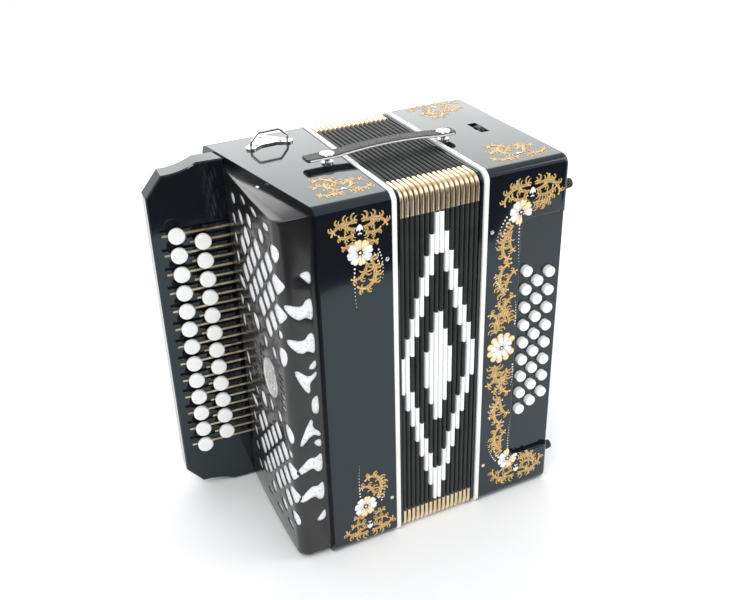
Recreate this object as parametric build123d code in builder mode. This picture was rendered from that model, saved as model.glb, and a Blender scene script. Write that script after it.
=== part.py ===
"""Button accordion with two treble rows and three bass rows, in millimetres.

+X runs along the bellows from the treble hand to the bass hand, +Y from the front to the back, and +Z up.
The origin is at the middle of the footprint, on the surface that the instrument stands on.
"""

import os
from math import atan, cos, sin

from build123d import *

os.makedirs("parts", exist_ok=True)

# Boxes
HEIGHT = 340.0
DEPTH = 182.5
FRONT_Y = -97.9
EDGE_RADIUS = 9.0
WALL = 8.0
INNER_RADIUS = 3.0
SEAM_X = -80.0
TREBLE_WIDTH = 62.5
BASS_WIDTH = 78.5
END_COVER = 6.0
EDGING = 4.0
EDGING_PROUD = 0.8
FRAME = 3.0
FRAME_INSET = 1.0
BELLOWS_INNER_INSET = 13.5

# Bellows
FOLDS = 16
FOLD_SPAN = 73.0
FOLD_DEPTH = 11.0

# Slanted treble end and its action
SLANT = atan(0.166)
AXLE_Y = FRONT_Y + 135.5
AXLE_INSET = 3.5
AXLE_RADIUS = 1.5
EYE_BORE_RADIUS = 1.55
EYE_RADIUS = 3.2
EYE_HEIGHT = 5.0
LEVER = 2.0
LEVER_TILT = atan(0.07)
SOUNDBOARD_DROP = 9.0
SOUNDBOARD = 6.0
PALLET_WIDTH = 14.0
PALLET_LENGTH = 26.0
PALLET_GAP = 0.3
TONE_HOLE_WIDTH = 9.0
TONE_HOLE_LENGTH = 19.0
KEY_PITCH = 9.183
KEY_COUNT = 25
OUTER_BUTTON_REACH = 54.6
INNER_BUTTON_REACH = 32.8
OUTER_STUB_REACH = 66.6
INNER_STUB_REACH = 43.5
OUTER_PALLET_REACH = 86.0
INNER_PALLET_REACH = 44.0
TREBLE_BUTTON_RADIUS = 7.25
TREBLE_BUTTON_THICKNESS = 3.6
TREBLE_STEM_RADIUS = 2.4
TREBLE_STEM_LENGTH = 2.4
BOARD_GAP = 5.5

# Fingerboard, measured along the board from the key axle
BOARD_THICKNESS = 19.0
BOARD_STEP = 29.3
BOARD_TIP = 59.6
BOARD_EDGE = 74.7
STEP_HALF_HEIGHT = 168.6
TIP_HALF_HEIGHT = 161.7
EDGE_HALF_HEIGHT = 143.0

# Grille
GRILLE_INSET = 6.0
GRILLE_REACH = 31.0
GRILLE_FRONT_Y = FRONT_Y + 5.0
GRILLE_BACK_Y = FRONT_Y + 140.0
GRILLE_CORNER = 10.0
GRILLE_TAPER = 4.0
COVER = 2.5
LINING_GAP = 0.3
LINING = 0.6
KEY_ZONE_MARGIN = 9.0

# Bass half
PANEL_RECESS = 4.0
PANEL = 5.0
PANEL_LEFT_X = 104.0
PANEL_LOW_Z = 43.7
PANEL_HIGH_Z = 290.4
PANEL_CORNER = 9.0
RECESS_ROUND = 2.0
BASS_PITCH = 18.1
BASS_BUTTON_RADIUS = 5.0
BASS_BUTTON_PROUD = 5.0
BASS_TRAVEL = 4.0
BASS_HOLE_RADIUS = 5.4
BASS_COLUMNS = ((112.2, 240.6, 9), (124.0, 228.5, 8), (135.9, 234.6, 8))
GUIDE_BOARD_Y = FRONT_Y + 30.0
BASS_SOUNDBOARD_X = 77.5

# Straps and fittings
HAND_STRAP_WIDTH = 62.0
HAND_STRAP = 3.5
HAND_STRAP_REACH = 25.0
BELLOWS_STRAP_WIDTH = 15.0
BELLOWS_STRAP = 2.6
BELLOWS_STRAP_Y = FRONT_Y + 84.0
BELLOWS_STRAP_Z = 345.2
LEFT_STUD_X = -33.5
RIGHT_STUD_X = 75.5
BAIL_WIRE_RADIUS = 1.2
BAIL_HEIGHT = 13.0
BAIL_SPAN = 34.0
PLATE = 1.5
PLATE_EAR = 4.8
PLATE_LOBE = 6.0
PLATE_DEPTH = 20.0
FOOT_HEIGHT = 9.0
WHEEL_RADIUS = 12.0
WHEEL_WIDTH = 7.0
WHEEL_PROUD = 1.2

back_y = FRONT_Y + DEPTH
mid_y = FRONT_Y + DEPTH / 2
mid_z = HEIGHT / 2
treble_end_x = SEAM_X + TREBLE_WIDTH
bellows_start_x = treble_end_x + EDGING + FRAME
bellows_end_x = bellows_start_x + FOLD_SPAN
bass_start_x = bellows_end_x + FRAME + EDGING
bass_end_x = bass_start_x + BASS_WIDTH
bass_cover_x = bass_end_x - END_COVER


def rim_x(y):
    """X of the slanted treble rim at a given Y."""
    return SEAM_X - (y - FRONT_Y) * sin(SLANT) / cos(SLANT)


axle_x = rim_x(AXLE_Y) + AXLE_INSET / cos(SLANT)

# The rim plane looks outwards. The action plane is parallel to it through the key axle: its local X runs
# forwards along the soundboard, its local Y is up and its local Z points outwards.
slant_forward = (sin(SLANT), -cos(SLANT), 0)
slant_outward = (-cos(SLANT), -sin(SLANT), 0)
rim_plane = Plane(origin=(SEAM_X, FRONT_Y, 0), x_dir=slant_forward, z_dir=slant_outward)
action_plane = Plane(origin=(axle_x, AXLE_Y, 0), x_dir=slant_forward, z_dir=slant_outward)

# The board plane lies along the levers: its local X runs out along the fingerboard, its local Z to the player.
board_outward = (-cos(LEVER_TILT), sin(LEVER_TILT), 0)
board_front = (-sin(LEVER_TILT), -cos(LEVER_TILT), 0)
lever_plane = Plane(origin=(axle_x, AXLE_Y, 0), x_dir=board_outward, z_dir=board_front)


def save(part, name):
    """Labels a finished piece and writes it."""
    part.label = name
    export_step(part, f"parts/{name}.step")


def save_group(pieces, name):
    """Writes separate solids that share one node."""
    save(Compound(children=pieces), name)


def case_ring(start_x, end_x, outer_inset, inner_inset):
    """A rounded frame round the X axis, such as a box's four walls."""
    with BuildPart() as ring:
        with BuildSketch(Plane.YZ.offset(start_x)):
            with Locations((mid_y, mid_z)):
                outer = EDGE_RADIUS
                RectangleRounded(DEPTH - 2 * outer_inset, HEIGHT - 2 * outer_inset, outer)
                RectangleRounded(
                    DEPTH - 2 * inner_inset, HEIGHT - 2 * inner_inset, INNER_RADIUS, mode=Mode.SUBTRACT
                )
        extrude(amount=end_x - start_x)
    return ring.part


def edging_ring(start_x):
    """The white strip, proud of the box on the front, top and back and flush with it underneath."""
    with BuildPart() as ring:
        with BuildSketch(Plane.YZ.offset(start_x)):
            with Locations((mid_y, mid_z + EDGING_PROUD / 2)):
                RectangleRounded(DEPTH + 2 * EDGING_PROUD, HEIGHT + EDGING_PROUD, EDGE_RADIUS)
            with Locations((mid_y, mid_z)):
                RectangleRounded(DEPTH - 2 * WALL, HEIGHT - 2 * WALL, INNER_RADIUS, mode=Mode.SUBTRACT)
        extrude(amount=EDGING)
    return ring.part


def cavity(start_x, end_x):
    """The space inside a box's walls, as a solid to trim other pieces with."""
    with BuildPart() as space:
        with BuildSketch(Plane.YZ.offset(start_x)):
            with Locations((mid_y, mid_z)):
                RectangleRounded(DEPTH - 2 * WALL, HEIGHT - 2 * WALL, INNER_RADIUS)
        extrude(amount=end_x - start_x)
    return space.part


def front_pin(x, z):
    """One of the silver pins that hold the bellows, with its domed head on the front wall."""
    with BuildPart() as pin:
        with BuildSketch(Plane.XZ.offset(-FRONT_Y)):
            with Locations((x, z)):
                Circle(1.8)
        extrude(amount=0.7)
        fillet(pin.edges().group_by(Axis.Y)[0], 0.5)
    return pin.part


# Treble half
with BuildPart() as treble_walls:
    add(case_ring(SEAM_X - 35, treble_end_x, 0, WALL))
    split(bisect_by=rim_plane, keep=Keep.BOTTOM)

with BuildPart() as treble_soundboard:
    with BuildSketch(action_plane.offset(-SOUNDBOARD_DROP)):
        with Locations((70, mid_z)):
            Rectangle(150, HEIGHT)
    extrude(amount=-SOUNDBOARD)
    add(cavity(SEAM_X - 35, treble_end_x), mode=Mode.INTERSECT)
    with BuildSketch(action_plane.offset(-SOUNDBOARD_DROP)):
        for key in range(KEY_COUNT):
            reach = OUTER_PALLET_REACH if key % 2 == 0 else INNER_PALLET_REACH
            with Locations((reach, mid_z + (12 - key) * KEY_PITCH)):
                Rectangle(TONE_HOLE_LENGTH, TONE_HOLE_WIDTH)
    extrude(amount=-SOUNDBOARD, mode=Mode.SUBTRACT)

with BuildPart() as board_block:
    with BuildSketch(action_plane.offset(AXLE_INSET)):
        with Locations((-30, mid_z)):
            Rectangle(49.6, HEIGHT)
    extrude(amount=-(AXLE_INSET + SOUNDBOARD_DROP + SOUNDBOARD))
    add(cavity(SEAM_X - 35, treble_end_x), mode=Mode.INTERSECT)
    add(treble_soundboard.part, mode=Mode.SUBTRACT)


def reed_block(plane, along, face, height, length, cells):
    """A wooden reed block standing on a soundboard's inner face, with a chamber for each reed pair."""
    width = 17.0
    with BuildPart() as block:
        with BuildSketch(plane.offset(face)):
            with Locations((along, mid_z)):
                Rectangle(width, length)
        extrude(amount=-height)
        with BuildSketch(plane.offset(face - 4)):
            with Locations((along, mid_z)):
                with GridLocations(0, length / cells, 1, cells):
                    Rectangle(width, length / cells - 5)
        extrude(amount=-(height - 8), mode=Mode.SUBTRACT)
    plates = []
    for side in (-1, 1):
        with BuildPart() as plate:
            with BuildSketch(plane.offset(face - 2)):
                with Locations((along + side * (width / 2 + 1), mid_z)):
                    Rectangle(2, length - 2)
            extrude(amount=-(height - 4))
        plates.append(plate.part)
    return [block.part, *plates]


treble_reeds = []
for block_along in (40, 86):
    treble_reeds += reed_block(action_plane, block_along, -(SOUNDBOARD_DROP + SOUNDBOARD), 34.0, 236.0, 13)


def wire_bail(plane, span, height, foot_spread):
    """A strap bail: one bent wire, its two feet on the plate and its loop standing off it."""
    with BuildPart() as bail:
        with BuildLine(plane):
            FilletPolyline(
                (-span / 2, 0),
                (-span / 2, height * 0.45),
                (-span / 2 + foot_spread, height),
                (span / 2 - foot_spread, height),
                (span / 2, height * 0.45),
                (span / 2, 0),
                radius=3.0,
            )
        with BuildSketch(Plane(origin=plane.from_local_coords((-span / 2, 0, 0)), z_dir=plane.y_dir)):
            Circle(BAIL_WIRE_RADIUS)
        sweep()
    return bail.part


def strap_plate(plane, span):
    """The plated plate under a bail: two ears, a waist between them and a lobe behind, with three screw holes."""
    with BuildPart() as plate:
        with BuildSketch(plane):
            with BuildLine():
                Polyline(
                    (-span / 2, -PLATE_EAR),
                    (-7, 1),
                    (7, 1),
                    (span / 2, -PLATE_EAR),
                    (span / 2 + 2, 4),
                    (PLATE_LOBE, PLATE_DEPTH),
                    (-PLATE_LOBE, PLATE_DEPTH),
                    (-span / 2 - 2, 4),
                    close=True,
                )
            make_face()
            with Locations((-span / 2, 0), (span / 2, 0)):
                Circle(PLATE_EAR)
            with Locations((0, PLATE_DEPTH)):
                Circle(PLATE_LOBE)
            with Locations((-span / 2, 0), (span / 2, 0)):
                Circle(BAIL_WIRE_RADIUS + 0.1, mode=Mode.SUBTRACT)
        extrude(amount=PLATE)
    return plate.part


def screw_head(plane, x, y, radius, height):
    """A domed screw head on a surface."""
    with BuildPart() as head:
        with BuildSketch(plane):
            with Locations((x, y)):
                Circle(radius)
        extrude(amount=height)
        fillet(head.faces().sort_by(Axis(plane.origin, plane.z_dir))[-1].edges(), height * 0.6)
    return head.part


TOP_BRACKET = (-60.0, FRONT_Y + 147.3)
LOW_BRACKET = (-62.0, 60.0)
top_face = Plane(origin=(TOP_BRACKET[0], TOP_BRACKET[1], HEIGHT), x_dir=(1, 0.06, 0), z_dir=(0, 0, 1))
back_face = Plane(origin=(LOW_BRACKET[0], back_y, LOW_BRACKET[1]), x_dir=(-1, 0, 0), z_dir=(0, 1, 0))


def strap_bracket(face):
    """Plate, bail and three screws on one face of the box."""
    plate = strap_plate(face, BAIL_SPAN)
    bail = wire_bail(Plane(origin=face.origin, x_dir=face.x_dir, z_dir=face.y_dir * -1), BAIL_SPAN, BAIL_HEIGHT, 7.0)
    screw_places = ((-11.5, 3), (11.5, 3), (0, PLATE_DEPTH))
    screws = [screw_head(face.offset(PLATE), x, y, 2.0, 0.8) for x, y in screw_places]
    return [plate, bail, *screws]


def stud(x, top_z):
    """The metal post that the bellows strap snaps on or hangs from."""
    with BuildPart() as post:
        with BuildSketch(Plane.XY.offset(HEIGHT)):
            with Locations((x, BELLOWS_STRAP_Y)):
                Circle(5.0)
        extrude(amount=1.2)
        with BuildSketch(Plane.XY.offset(HEIGHT + 1.2)):
            with Locations((x, BELLOWS_STRAP_Y)):
                Circle(2.5)
        extrude(amount=top_z - HEIGHT - 1.2)
    return post.part


treble_pins = [front_pin(treble_end_x - 4.7, z) for z in (44.0, 286.0)]
save_group(
    [
        treble_walls.part,
        treble_soundboard.part,
        board_block.part,
        *treble_reeds,
        edging_ring(treble_end_x),
        case_ring(treble_end_x + EDGING, bellows_start_x, FRAME_INSET, BELLOWS_INNER_INSET),
        stud(LEFT_STUD_X, BELLOWS_STRAP_Z - 0.3),
        *treble_pins,
    ],
    "treble_case",
)
save_group([*strap_bracket(top_face), *strap_bracket(back_face)], "strap_brackets")

# Grille cover with its lining
low_key_z = mid_z - 12 * KEY_PITCH
high_key_z = mid_z + 12 * KEY_PITCH


def grille_shell(outer, inner, low_z, high_z, cap):
    """A thin wedge-shaped shell on the slanted rim, open towards the box."""
    face_x = SEAM_X - GRILLE_REACH
    with BuildPart() as shell:
        for inset, cap_inset, mode in ((outer, 0, Mode.ADD), (inner, cap, Mode.SUBTRACT)):
            front_y = GRILLE_FRONT_Y + inset
            corner_start = (face_x + GRILLE_CORNER, front_y)
            corner_end = (face_x + inset, GRILLE_FRONT_Y + GRILLE_CORNER)
            back_corner = (face_x + GRILLE_TAPER + inset, GRILLE_BACK_Y - inset)
            with BuildSketch(Plane.XY.offset(low_z + cap_inset)):
                with BuildLine():
                    Line((SEAM_X + 12, front_y), corner_start)
                    RadiusArc(corner_start, corner_end, GRILLE_CORNER - inset)
                    ThreePointArc(corner_end, (face_x - 0.5 + inset, FRONT_Y + 55), back_corner)
                    Polyline(back_corner, (SEAM_X + 12, GRILLE_BACK_Y - inset), (SEAM_X + 12, front_y))
                make_face()
            extrude(amount=high_z - low_z - 2 * cap_inset, mode=mode)
        split(bisect_by=rim_plane, keep=Keep.TOP)
        with Locations((axle_x - 10, GRILLE_BACK_Y, mid_z)):
            Box(40, 18, high_key_z - low_key_z + 2 * KEY_ZONE_MARGIN, mode=Mode.SUBTRACT)
    return shell.part


SIDE_SLOT_ROWS = 15
FRONT_SLOTS = 11
BADGE_HALF_HEIGHT = 19.0
BADGE_HALF_WIDTH = 15.5
BADGE_Y = FRONT_Y + 46.0
BADGE_Z = mid_z + 6.0

with BuildPart() as grille_cover:
    add(grille_shell(0, COVER, GRILLE_INSET, HEIGHT - GRILLE_INSET, COVER))
    with BuildSketch(Plane.YZ.offset(SEAM_X - GRILLE_REACH - 2)):
        for row in range(SIDE_SLOT_ROWS):
            z = 26 + row * (HEIGHT - 52) / (SIDE_SLOT_ROWS - 1)
            lean = 35 if row % 2 else -35
            for column, y in enumerate((28, 56, 84, 110)):
                beside_badge = abs(z - BADGE_Z) < BADGE_HALF_HEIGHT + 8 and column in (0, 1)
                if not beside_badge:
                    with Locations((FRONT_Y + y, z)):
                        SlotOverall(20, 6.5, rotation=lean)
    extrude(amount=14, mode=Mode.SUBTRACT)
    with BuildSketch(Plane.XZ.offset(-GRILLE_FRONT_Y + 2)):
        with Locations((SEAM_X - 13, mid_z)):
            with GridLocations(0, 27, 1, FRONT_SLOTS):
                SlotOverall(15, 8, rotation=90)
    extrude(amount=-8, mode=Mode.SUBTRACT)

lining = grille_shell(COVER + LINING_GAP, COVER + LINING_GAP + LINING, 9.0, HEIGHT - 9.0, LINING)

with BuildPart() as badge:
    with BuildSketch(Plane.YZ.offset(SEAM_X - GRILLE_REACH + 0.5)):
        with Locations((BADGE_Y, BADGE_Z)):
            Ellipse(BADGE_HALF_WIDTH, BADGE_HALF_HEIGHT)
    extrude(amount=-1.2)

grille_screws = [
    screw_head(Plane.XY.offset(HEIGHT - GRILLE_INSET), -97.0, FRONT_Y + 77, 2.0, 1.0),
    screw_head(Plane(origin=(0, 0, GRILLE_INSET), x_dir=(1, 0, 0), z_dir=(0, 0, -1)), -97.0, -FRONT_Y - 77, 2.0, 1.0),
]
save_group([grille_cover.part, lining, badge.part, *grille_screws], "treble_grille")

# Fingerboard with the key axle and its comb
with BuildPart() as board:
    with BuildSketch(Plane(lever_plane.from_local_coords((0, 0, -BOARD_GAP)), x_dir=board_outward, z_dir=board_front)):
        for side in (-1, 1):
            with BuildLine():
                Line((-8, 0), (BOARD_EDGE, 0))
                Line((BOARD_EDGE, 0), (BOARD_EDGE, side * EDGE_HALF_HEIGHT))
                Line((BOARD_EDGE, side * EDGE_HALF_HEIGHT), (BOARD_TIP, side * TIP_HALF_HEIGHT))
                ThreePointArc(
                    (BOARD_TIP, side * TIP_HALF_HEIGHT), (43, side * 163.4), (BOARD_STEP, side * STEP_HALF_HEIGHT)
                )
                Line((BOARD_STEP, side * STEP_HALF_HEIGHT), (-8, side * STEP_HALF_HEIGHT))
                Line((-8, side * STEP_HALF_HEIGHT), (-8, 0))
            make_face()
    extrude(amount=-BOARD_THICKNESS)
    split(bisect_by=rim_plane, keep=Keep.TOP)
    chamfer(board.faces().sort_by(Axis((0, 0, 0), board_front))[-1].edges(), 1.2)
fingerboard_solid = board.part.moved(Location((0, 0, mid_z)))

axle_low_z = low_key_z - 8
axle_high_z = high_key_z + 8
with BuildPart() as axle:
    with BuildSketch(Plane.XY.offset(axle_low_z)):
        with Locations((axle_x, AXLE_Y)):
            Circle(AXLE_RADIUS)
    extrude(amount=axle_high_z - axle_low_z)

comb_teeth = []
for gap in (-0.6, 6.5, 12.5, 18.5, 24.6):
    tooth_z = high_key_z - gap * KEY_PITCH
    with BuildPart() as tooth:
        with BuildSketch(action_plane.offset(-SOUNDBOARD_DROP)):
            with Locations((0, tooth_z)):
                Rectangle(7, 3)
        extrude(amount=SOUNDBOARD_DROP + 2.8)
        with BuildSketch(Plane.XY.offset(tooth_z - 2)):
            with Locations((axle_x, AXLE_Y)):
                Circle(AXLE_RADIUS)
        extrude(amount=4, mode=Mode.SUBTRACT)
    comb_teeth.append(tooth.part)

save_group([fingerboard_solid, axle.part, *comb_teeth], "fingerboard")


# Treble keys
def treble_key(key):
    """One key: a lever with an eye on the axle, a button on its outer end and a pallet on its inner end."""
    outer_row = key % 2 == 0
    z = high_key_z - key * KEY_PITCH
    button_reach = OUTER_BUTTON_REACH if outer_row else INNER_BUTTON_REACH
    stub_reach = OUTER_STUB_REACH if outer_row else INNER_STUB_REACH
    pallet_reach = OUTER_PALLET_REACH if outer_row else INNER_PALLET_REACH
    axle_point = Vector(axle_x, AXLE_Y)
    stub = axle_point + Vector(*board_outward) * stub_reach
    arm_end = axle_point + Vector(*slant_forward) * (pallet_reach + PALLET_LENGTH / 2 - 3)

    with BuildPart() as lever:
        with BuildSketch(Plane.XY.offset(z - LEVER / 2)):
            with BuildLine():
                Polyline((stub.X, stub.Y), (axle_x, AXLE_Y), (arm_end.X, arm_end.Y))
            trace(line_width=LEVER)
        extrude(amount=LEVER)
        with BuildSketch(Plane.XY.offset(z - EYE_HEIGHT / 2)):
            with Locations((axle_x, AXLE_Y)):
                Circle(EYE_RADIUS)
        extrude(amount=EYE_HEIGHT)
        with BuildSketch(Plane.XY.offset(z - EYE_HEIGHT / 2)):
            with Locations((axle_x, AXLE_Y)):
                Circle(EYE_BORE_RADIUS)
        extrude(amount=EYE_HEIGHT, mode=Mode.SUBTRACT)

    # The local Y of the lever plane points down, so a height above the origin is negative there.
    with BuildPart() as button:
        with BuildSketch(lever_plane.offset(LEVER / 2)):
            with Locations((button_reach, -z)):
                Circle(TREBLE_STEM_RADIUS)
        extrude(amount=TREBLE_STEM_LENGTH)
        with BuildSketch(lever_plane.offset(LEVER / 2 + TREBLE_STEM_LENGTH)):
            with Locations((button_reach, -z)):
                Circle(TREBLE_BUTTON_RADIUS)
        extrude(amount=TREBLE_BUTTON_THICKNESS)
        fillet(button.faces().sort_by(Axis((0, 0, 0), board_front))[-1].edges(), 1.2)

    with BuildPart() as pallet:
        with BuildSketch(action_plane.offset(-LEVER / 2)):
            with Locations((pallet_reach, z)):
                Rectangle(PALLET_LENGTH, PALLET_WIDTH)
        extrude(amount=-(SOUNDBOARD_DROP - LEVER / 2 - PALLET_GAP))

    save_group([lever.part, button.part, pallet.part], f"treble_key_{key + 1:02d}")


for key_number in range(KEY_COUNT):
    treble_key(key_number)

# Bellows: sixteen folds round an open middle
fold_pitch = FOLD_SPAN / FOLDS
valley_inset = FRAME_INSET + FOLD_DEPTH
with BuildPart() as bellows:
    for fold in range(FOLDS):
        start = bellows_start_x + fold * fold_pitch
        for first_inset, last_inset, x in (
            (valley_inset, FRAME_INSET, start),
            (FRAME_INSET, valley_inset, start + fold_pitch / 2),
        ):
            for inset, plane_x in ((first_inset, x), (last_inset, x + fold_pitch / 2)):
                with BuildSketch(Plane.YZ.offset(plane_x)):
                    with Locations((mid_y, mid_z)):
                        RectangleRounded(DEPTH - 2 * inset, HEIGHT - 2 * inset, EDGE_RADIUS - inset / 3)
            loft(ruled=True)
    with BuildSketch(Plane.YZ.offset(bellows_start_x)):
        with Locations((mid_y, mid_z)):
            RectangleRounded(DEPTH - 2 * BELLOWS_INNER_INSET, HEIGHT - 2 * BELLOWS_INNER_INSET, INNER_RADIUS)
    extrude(amount=FOLD_SPAN, mode=Mode.SUBTRACT)
save(bellows.part, "bellows")


# Bass half
def panel_recess(near_y, far_y):
    """The block of space in front of the bass buttons, between two Y values."""
    with BuildPart() as space:
        with BuildSketch(Plane.XZ.offset(-near_y)):
            with BuildLine():
                Polyline(
                    (bass_end_x + 5, PANEL_LOW_Z),
                    (PANEL_LEFT_X + PANEL_CORNER, PANEL_LOW_Z),
                )
                RadiusArc(
                    (PANEL_LEFT_X + PANEL_CORNER, PANEL_LOW_Z), (PANEL_LEFT_X, PANEL_LOW_Z + PANEL_CORNER), PANEL_CORNER
                )
                Line((PANEL_LEFT_X, PANEL_LOW_Z + PANEL_CORNER), (PANEL_LEFT_X, PANEL_HIGH_Z - PANEL_CORNER))
                RadiusArc(
                    (PANEL_LEFT_X, PANEL_HIGH_Z - PANEL_CORNER),
                    (PANEL_LEFT_X + PANEL_CORNER, PANEL_HIGH_Z),
                    PANEL_CORNER,
                )
                Polyline(
                    (PANEL_LEFT_X + PANEL_CORNER, PANEL_HIGH_Z),
                    (bass_end_x + 5, PANEL_HIGH_Z),
                    (bass_end_x + 5, PANEL_LOW_Z),
                )
            make_face()
        extrude(amount=-(far_y - near_y))
    return space.part


panel_back_y = FRONT_Y + PANEL_RECESS + PANEL
recess = panel_recess(FRONT_Y - 5, panel_back_y)
wheel_z = HEIGHT + WHEEL_PROUD - WHEEL_RADIUS
wheel_x = 118.0
wheel_y = FRONT_Y + 95.5
AIR_Y = FRONT_Y + 48.0
AIR_Z = 262.0
AIR_STEM_RADIUS = 2.0


def is_recess_edge(edge):
    """Whether an edge of the front wall's face runs along the button recess."""
    box = edge.bounding_box()
    inside_x = box.min.X > PANEL_LEFT_X - 1
    inside_z = box.min.Z > PANEL_LOW_Z - 1 and box.max.Z < PANEL_HIGH_Z + 1
    return inside_x and inside_z


with BuildPart() as bass_walls:
    add(case_ring(bass_start_x, bass_cover_x, 0, WALL))
    add(recess, mode=Mode.SUBTRACT)
    front_edges = bass_walls.faces().sort_by(Axis.Y)[0].edges()
    fillet([e for e in front_edges if is_recess_edge(e)], RECESS_ROUND)
    with Locations((wheel_x, wheel_y, HEIGHT)):
        Box(WHEEL_WIDTH + 1.4, 25, 30, mode=Mode.SUBTRACT)

with BuildPart() as end_cover:
    with BuildSketch(Plane.YZ.offset(bass_cover_x)):
        with Locations((mid_y, mid_z)):
            RectangleRounded(DEPTH, HEIGHT, EDGE_RADIUS)
    extrude(amount=END_COVER)
    fillet(end_cover.faces().sort_by(Axis.X)[-1].edges(), 4.0)
    add(recess, mode=Mode.SUBTRACT)
    with BuildSketch(Plane.YZ.offset(bass_cover_x)):
        with Locations((AIR_Y, AIR_Z)):
            Circle(AIR_STEM_RADIUS + 0.4)
    extrude(amount=END_COVER, mode=Mode.SUBTRACT)

with BuildPart() as button_panel:
    add(panel_recess(FRONT_Y + PANEL_RECESS, panel_back_y))
    with Locations((bass_end_x + 50, mid_y, mid_z)):
        Box(100, 2 * DEPTH, HEIGHT, mode=Mode.SUBTRACT)
    with BuildSketch(Plane.XZ.offset(-FRONT_Y)):
        for column_x, first_z, count in BASS_COLUMNS:
            for row in range(count):
                with Locations((column_x, first_z - row * BASS_PITCH)):
                    Circle(BASS_HOLE_RADIUS)
    extrude(amount=-(PANEL_RECESS + PANEL), mode=Mode.SUBTRACT)

with BuildPart() as guide_board:
    with Locations(((PANEL_LEFT_X + bass_cover_x) / 2, GUIDE_BOARD_Y, mid_z)):
        Box(bass_cover_x - PANEL_LEFT_X, 3, 200)
    with BuildSketch(Plane.XZ.offset(-GUIDE_BOARD_Y + 2)):
        for column_x, first_z, count in BASS_COLUMNS:
            for row in range(count):
                with Locations((column_x, first_z - row * BASS_PITCH)):
                    Circle(2.0)
    extrude(amount=-4, mode=Mode.SUBTRACT)

with BuildPart() as bass_soundboard:
    add(cavity(BASS_SOUNDBOARD_X, BASS_SOUNDBOARD_X + SOUNDBOARD))
    with BuildSketch(Plane.YZ.offset(BASS_SOUNDBOARD_X)):
        with Locations((mid_y, mid_z)):
            with GridLocations(46, 19, 2, 12):
                Rectangle(18, 10)
    extrude(amount=SOUNDBOARD, mode=Mode.SUBTRACT)

bass_block_plane = Plane(origin=(BASS_SOUNDBOARD_X, mid_y, 0), x_dir=(0, 1, 0), z_dir=(1, 0, 0))
bass_reeds = []
for block_along in (-23, 23):
    bass_reeds += reed_block(bass_block_plane, block_along, 0, 32.0, 228.0, 12)

bass_feet = []
for foot_y in (FRONT_Y + 10, back_y - 10):
    for foot_z in (33.0, 310.0):
        with BuildPart() as foot:
            with BuildSketch(Plane.YZ.offset(bass_end_x)):
                with Locations((foot_y, foot_z)):
                    Circle(5.0)
            extrude(amount=FOOT_HEIGHT, taper=6)
        bass_feet.append(foot.part)

wheel_ears = []
for side in (-1, 1):
    with BuildPart() as ear:
        ear_x = wheel_x + side * (WHEEL_WIDTH / 2 + 2.2)
        with Locations((ear_x, wheel_y, (wheel_z - 6 + HEIGHT - WALL) / 2)):
            Box(2.4, 12, HEIGHT - WALL - wheel_z + 6)
        with BuildSketch(Plane.YZ.offset(ear_x - 2)):
            with Locations((wheel_y, wheel_z)):
                Circle(2.05)
        extrude(amount=4, mode=Mode.SUBTRACT)
    wheel_ears.append(ear.part)

bass_pins = [front_pin(bass_start_x + 4.7, z) for z in (44.0, 286.5)]
save_group(
    [
        bass_walls.part,
        end_cover.part,
        button_panel.part,
        guide_board.part,
        bass_soundboard.part,
        *bass_reeds,
        edging_ring(bass_start_x - EDGING),
        case_ring(bellows_end_x, bass_start_x - EDGING, FRAME_INSET, BELLOWS_INNER_INSET),
        *bass_feet,
        *wheel_ears,
        stud(RIGHT_STUD_X, BELLOWS_STRAP_Z - 0.3),
        *bass_pins,
    ],
    "bass_case",
)

# Bass buttons, numbered down each column
button_number = 0
for column_x, first_z, count in BASS_COLUMNS:
    for row in range(count):
        button_number += 1
        top_y = FRONT_Y + PANEL_RECESS - BASS_BUTTON_PROUD
        with BuildPart() as bass_button:
            with BuildSketch(Plane.XZ.offset(-top_y)):
                with Locations((column_x, first_z - row * BASS_PITCH)):
                    Circle(BASS_BUTTON_RADIUS)
            extrude(amount=-14)
            fillet(bass_button.edges().group_by(Axis.Y)[0], 1.4)
            with BuildSketch(Plane.XZ.offset(-(panel_back_y + 0.3))):
                with Locations((column_x, first_z - row * BASS_PITCH)):
                    Circle(BASS_BUTTON_RADIUS + 0.6)
            extrude(amount=-1.5)
            with BuildSketch(Plane.XZ.offset(-(top_y + 14))):
                with Locations((column_x, first_z - row * BASS_PITCH)):
                    Circle(1.6)
            extrude(amount=-(GUIDE_BOARD_Y + 4 - top_y - 14))
        save(bass_button.part, f"bass_button_{button_number:02d}")

# Hand strap on the end cover, with a clamp plate at each end
strap_face_x = bass_end_x
with BuildPart() as strap_band:
    with BuildSketch(Plane.XZ.offset(-mid_y)):
        with BuildLine():
            Line((strap_face_x, 14), (strap_face_x, 30))
            ThreePointArc(
                (strap_face_x, 30),
                (strap_face_x + HAND_STRAP_REACH - HAND_STRAP, mid_z),
                (strap_face_x, HEIGHT - 30),
            )
            Line((strap_face_x, HEIGHT - 30), (strap_face_x, HEIGHT - 14))
            Line((strap_face_x, HEIGHT - 14), (strap_face_x + HAND_STRAP, HEIGHT - 14))
            Line((strap_face_x + HAND_STRAP, HEIGHT - 14), (strap_face_x + HAND_STRAP, HEIGHT - 29))
            ThreePointArc(
                (strap_face_x + HAND_STRAP, HEIGHT - 29),
                (strap_face_x + HAND_STRAP_REACH, mid_z),
                (strap_face_x + HAND_STRAP, 29),
            )
            Line((strap_face_x + HAND_STRAP, 29), (strap_face_x + HAND_STRAP, 14))
            Line((strap_face_x + HAND_STRAP, 14), (strap_face_x, 14))
        make_face()
    extrude(amount=HAND_STRAP_WIDTH / 2, both=True)

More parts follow.
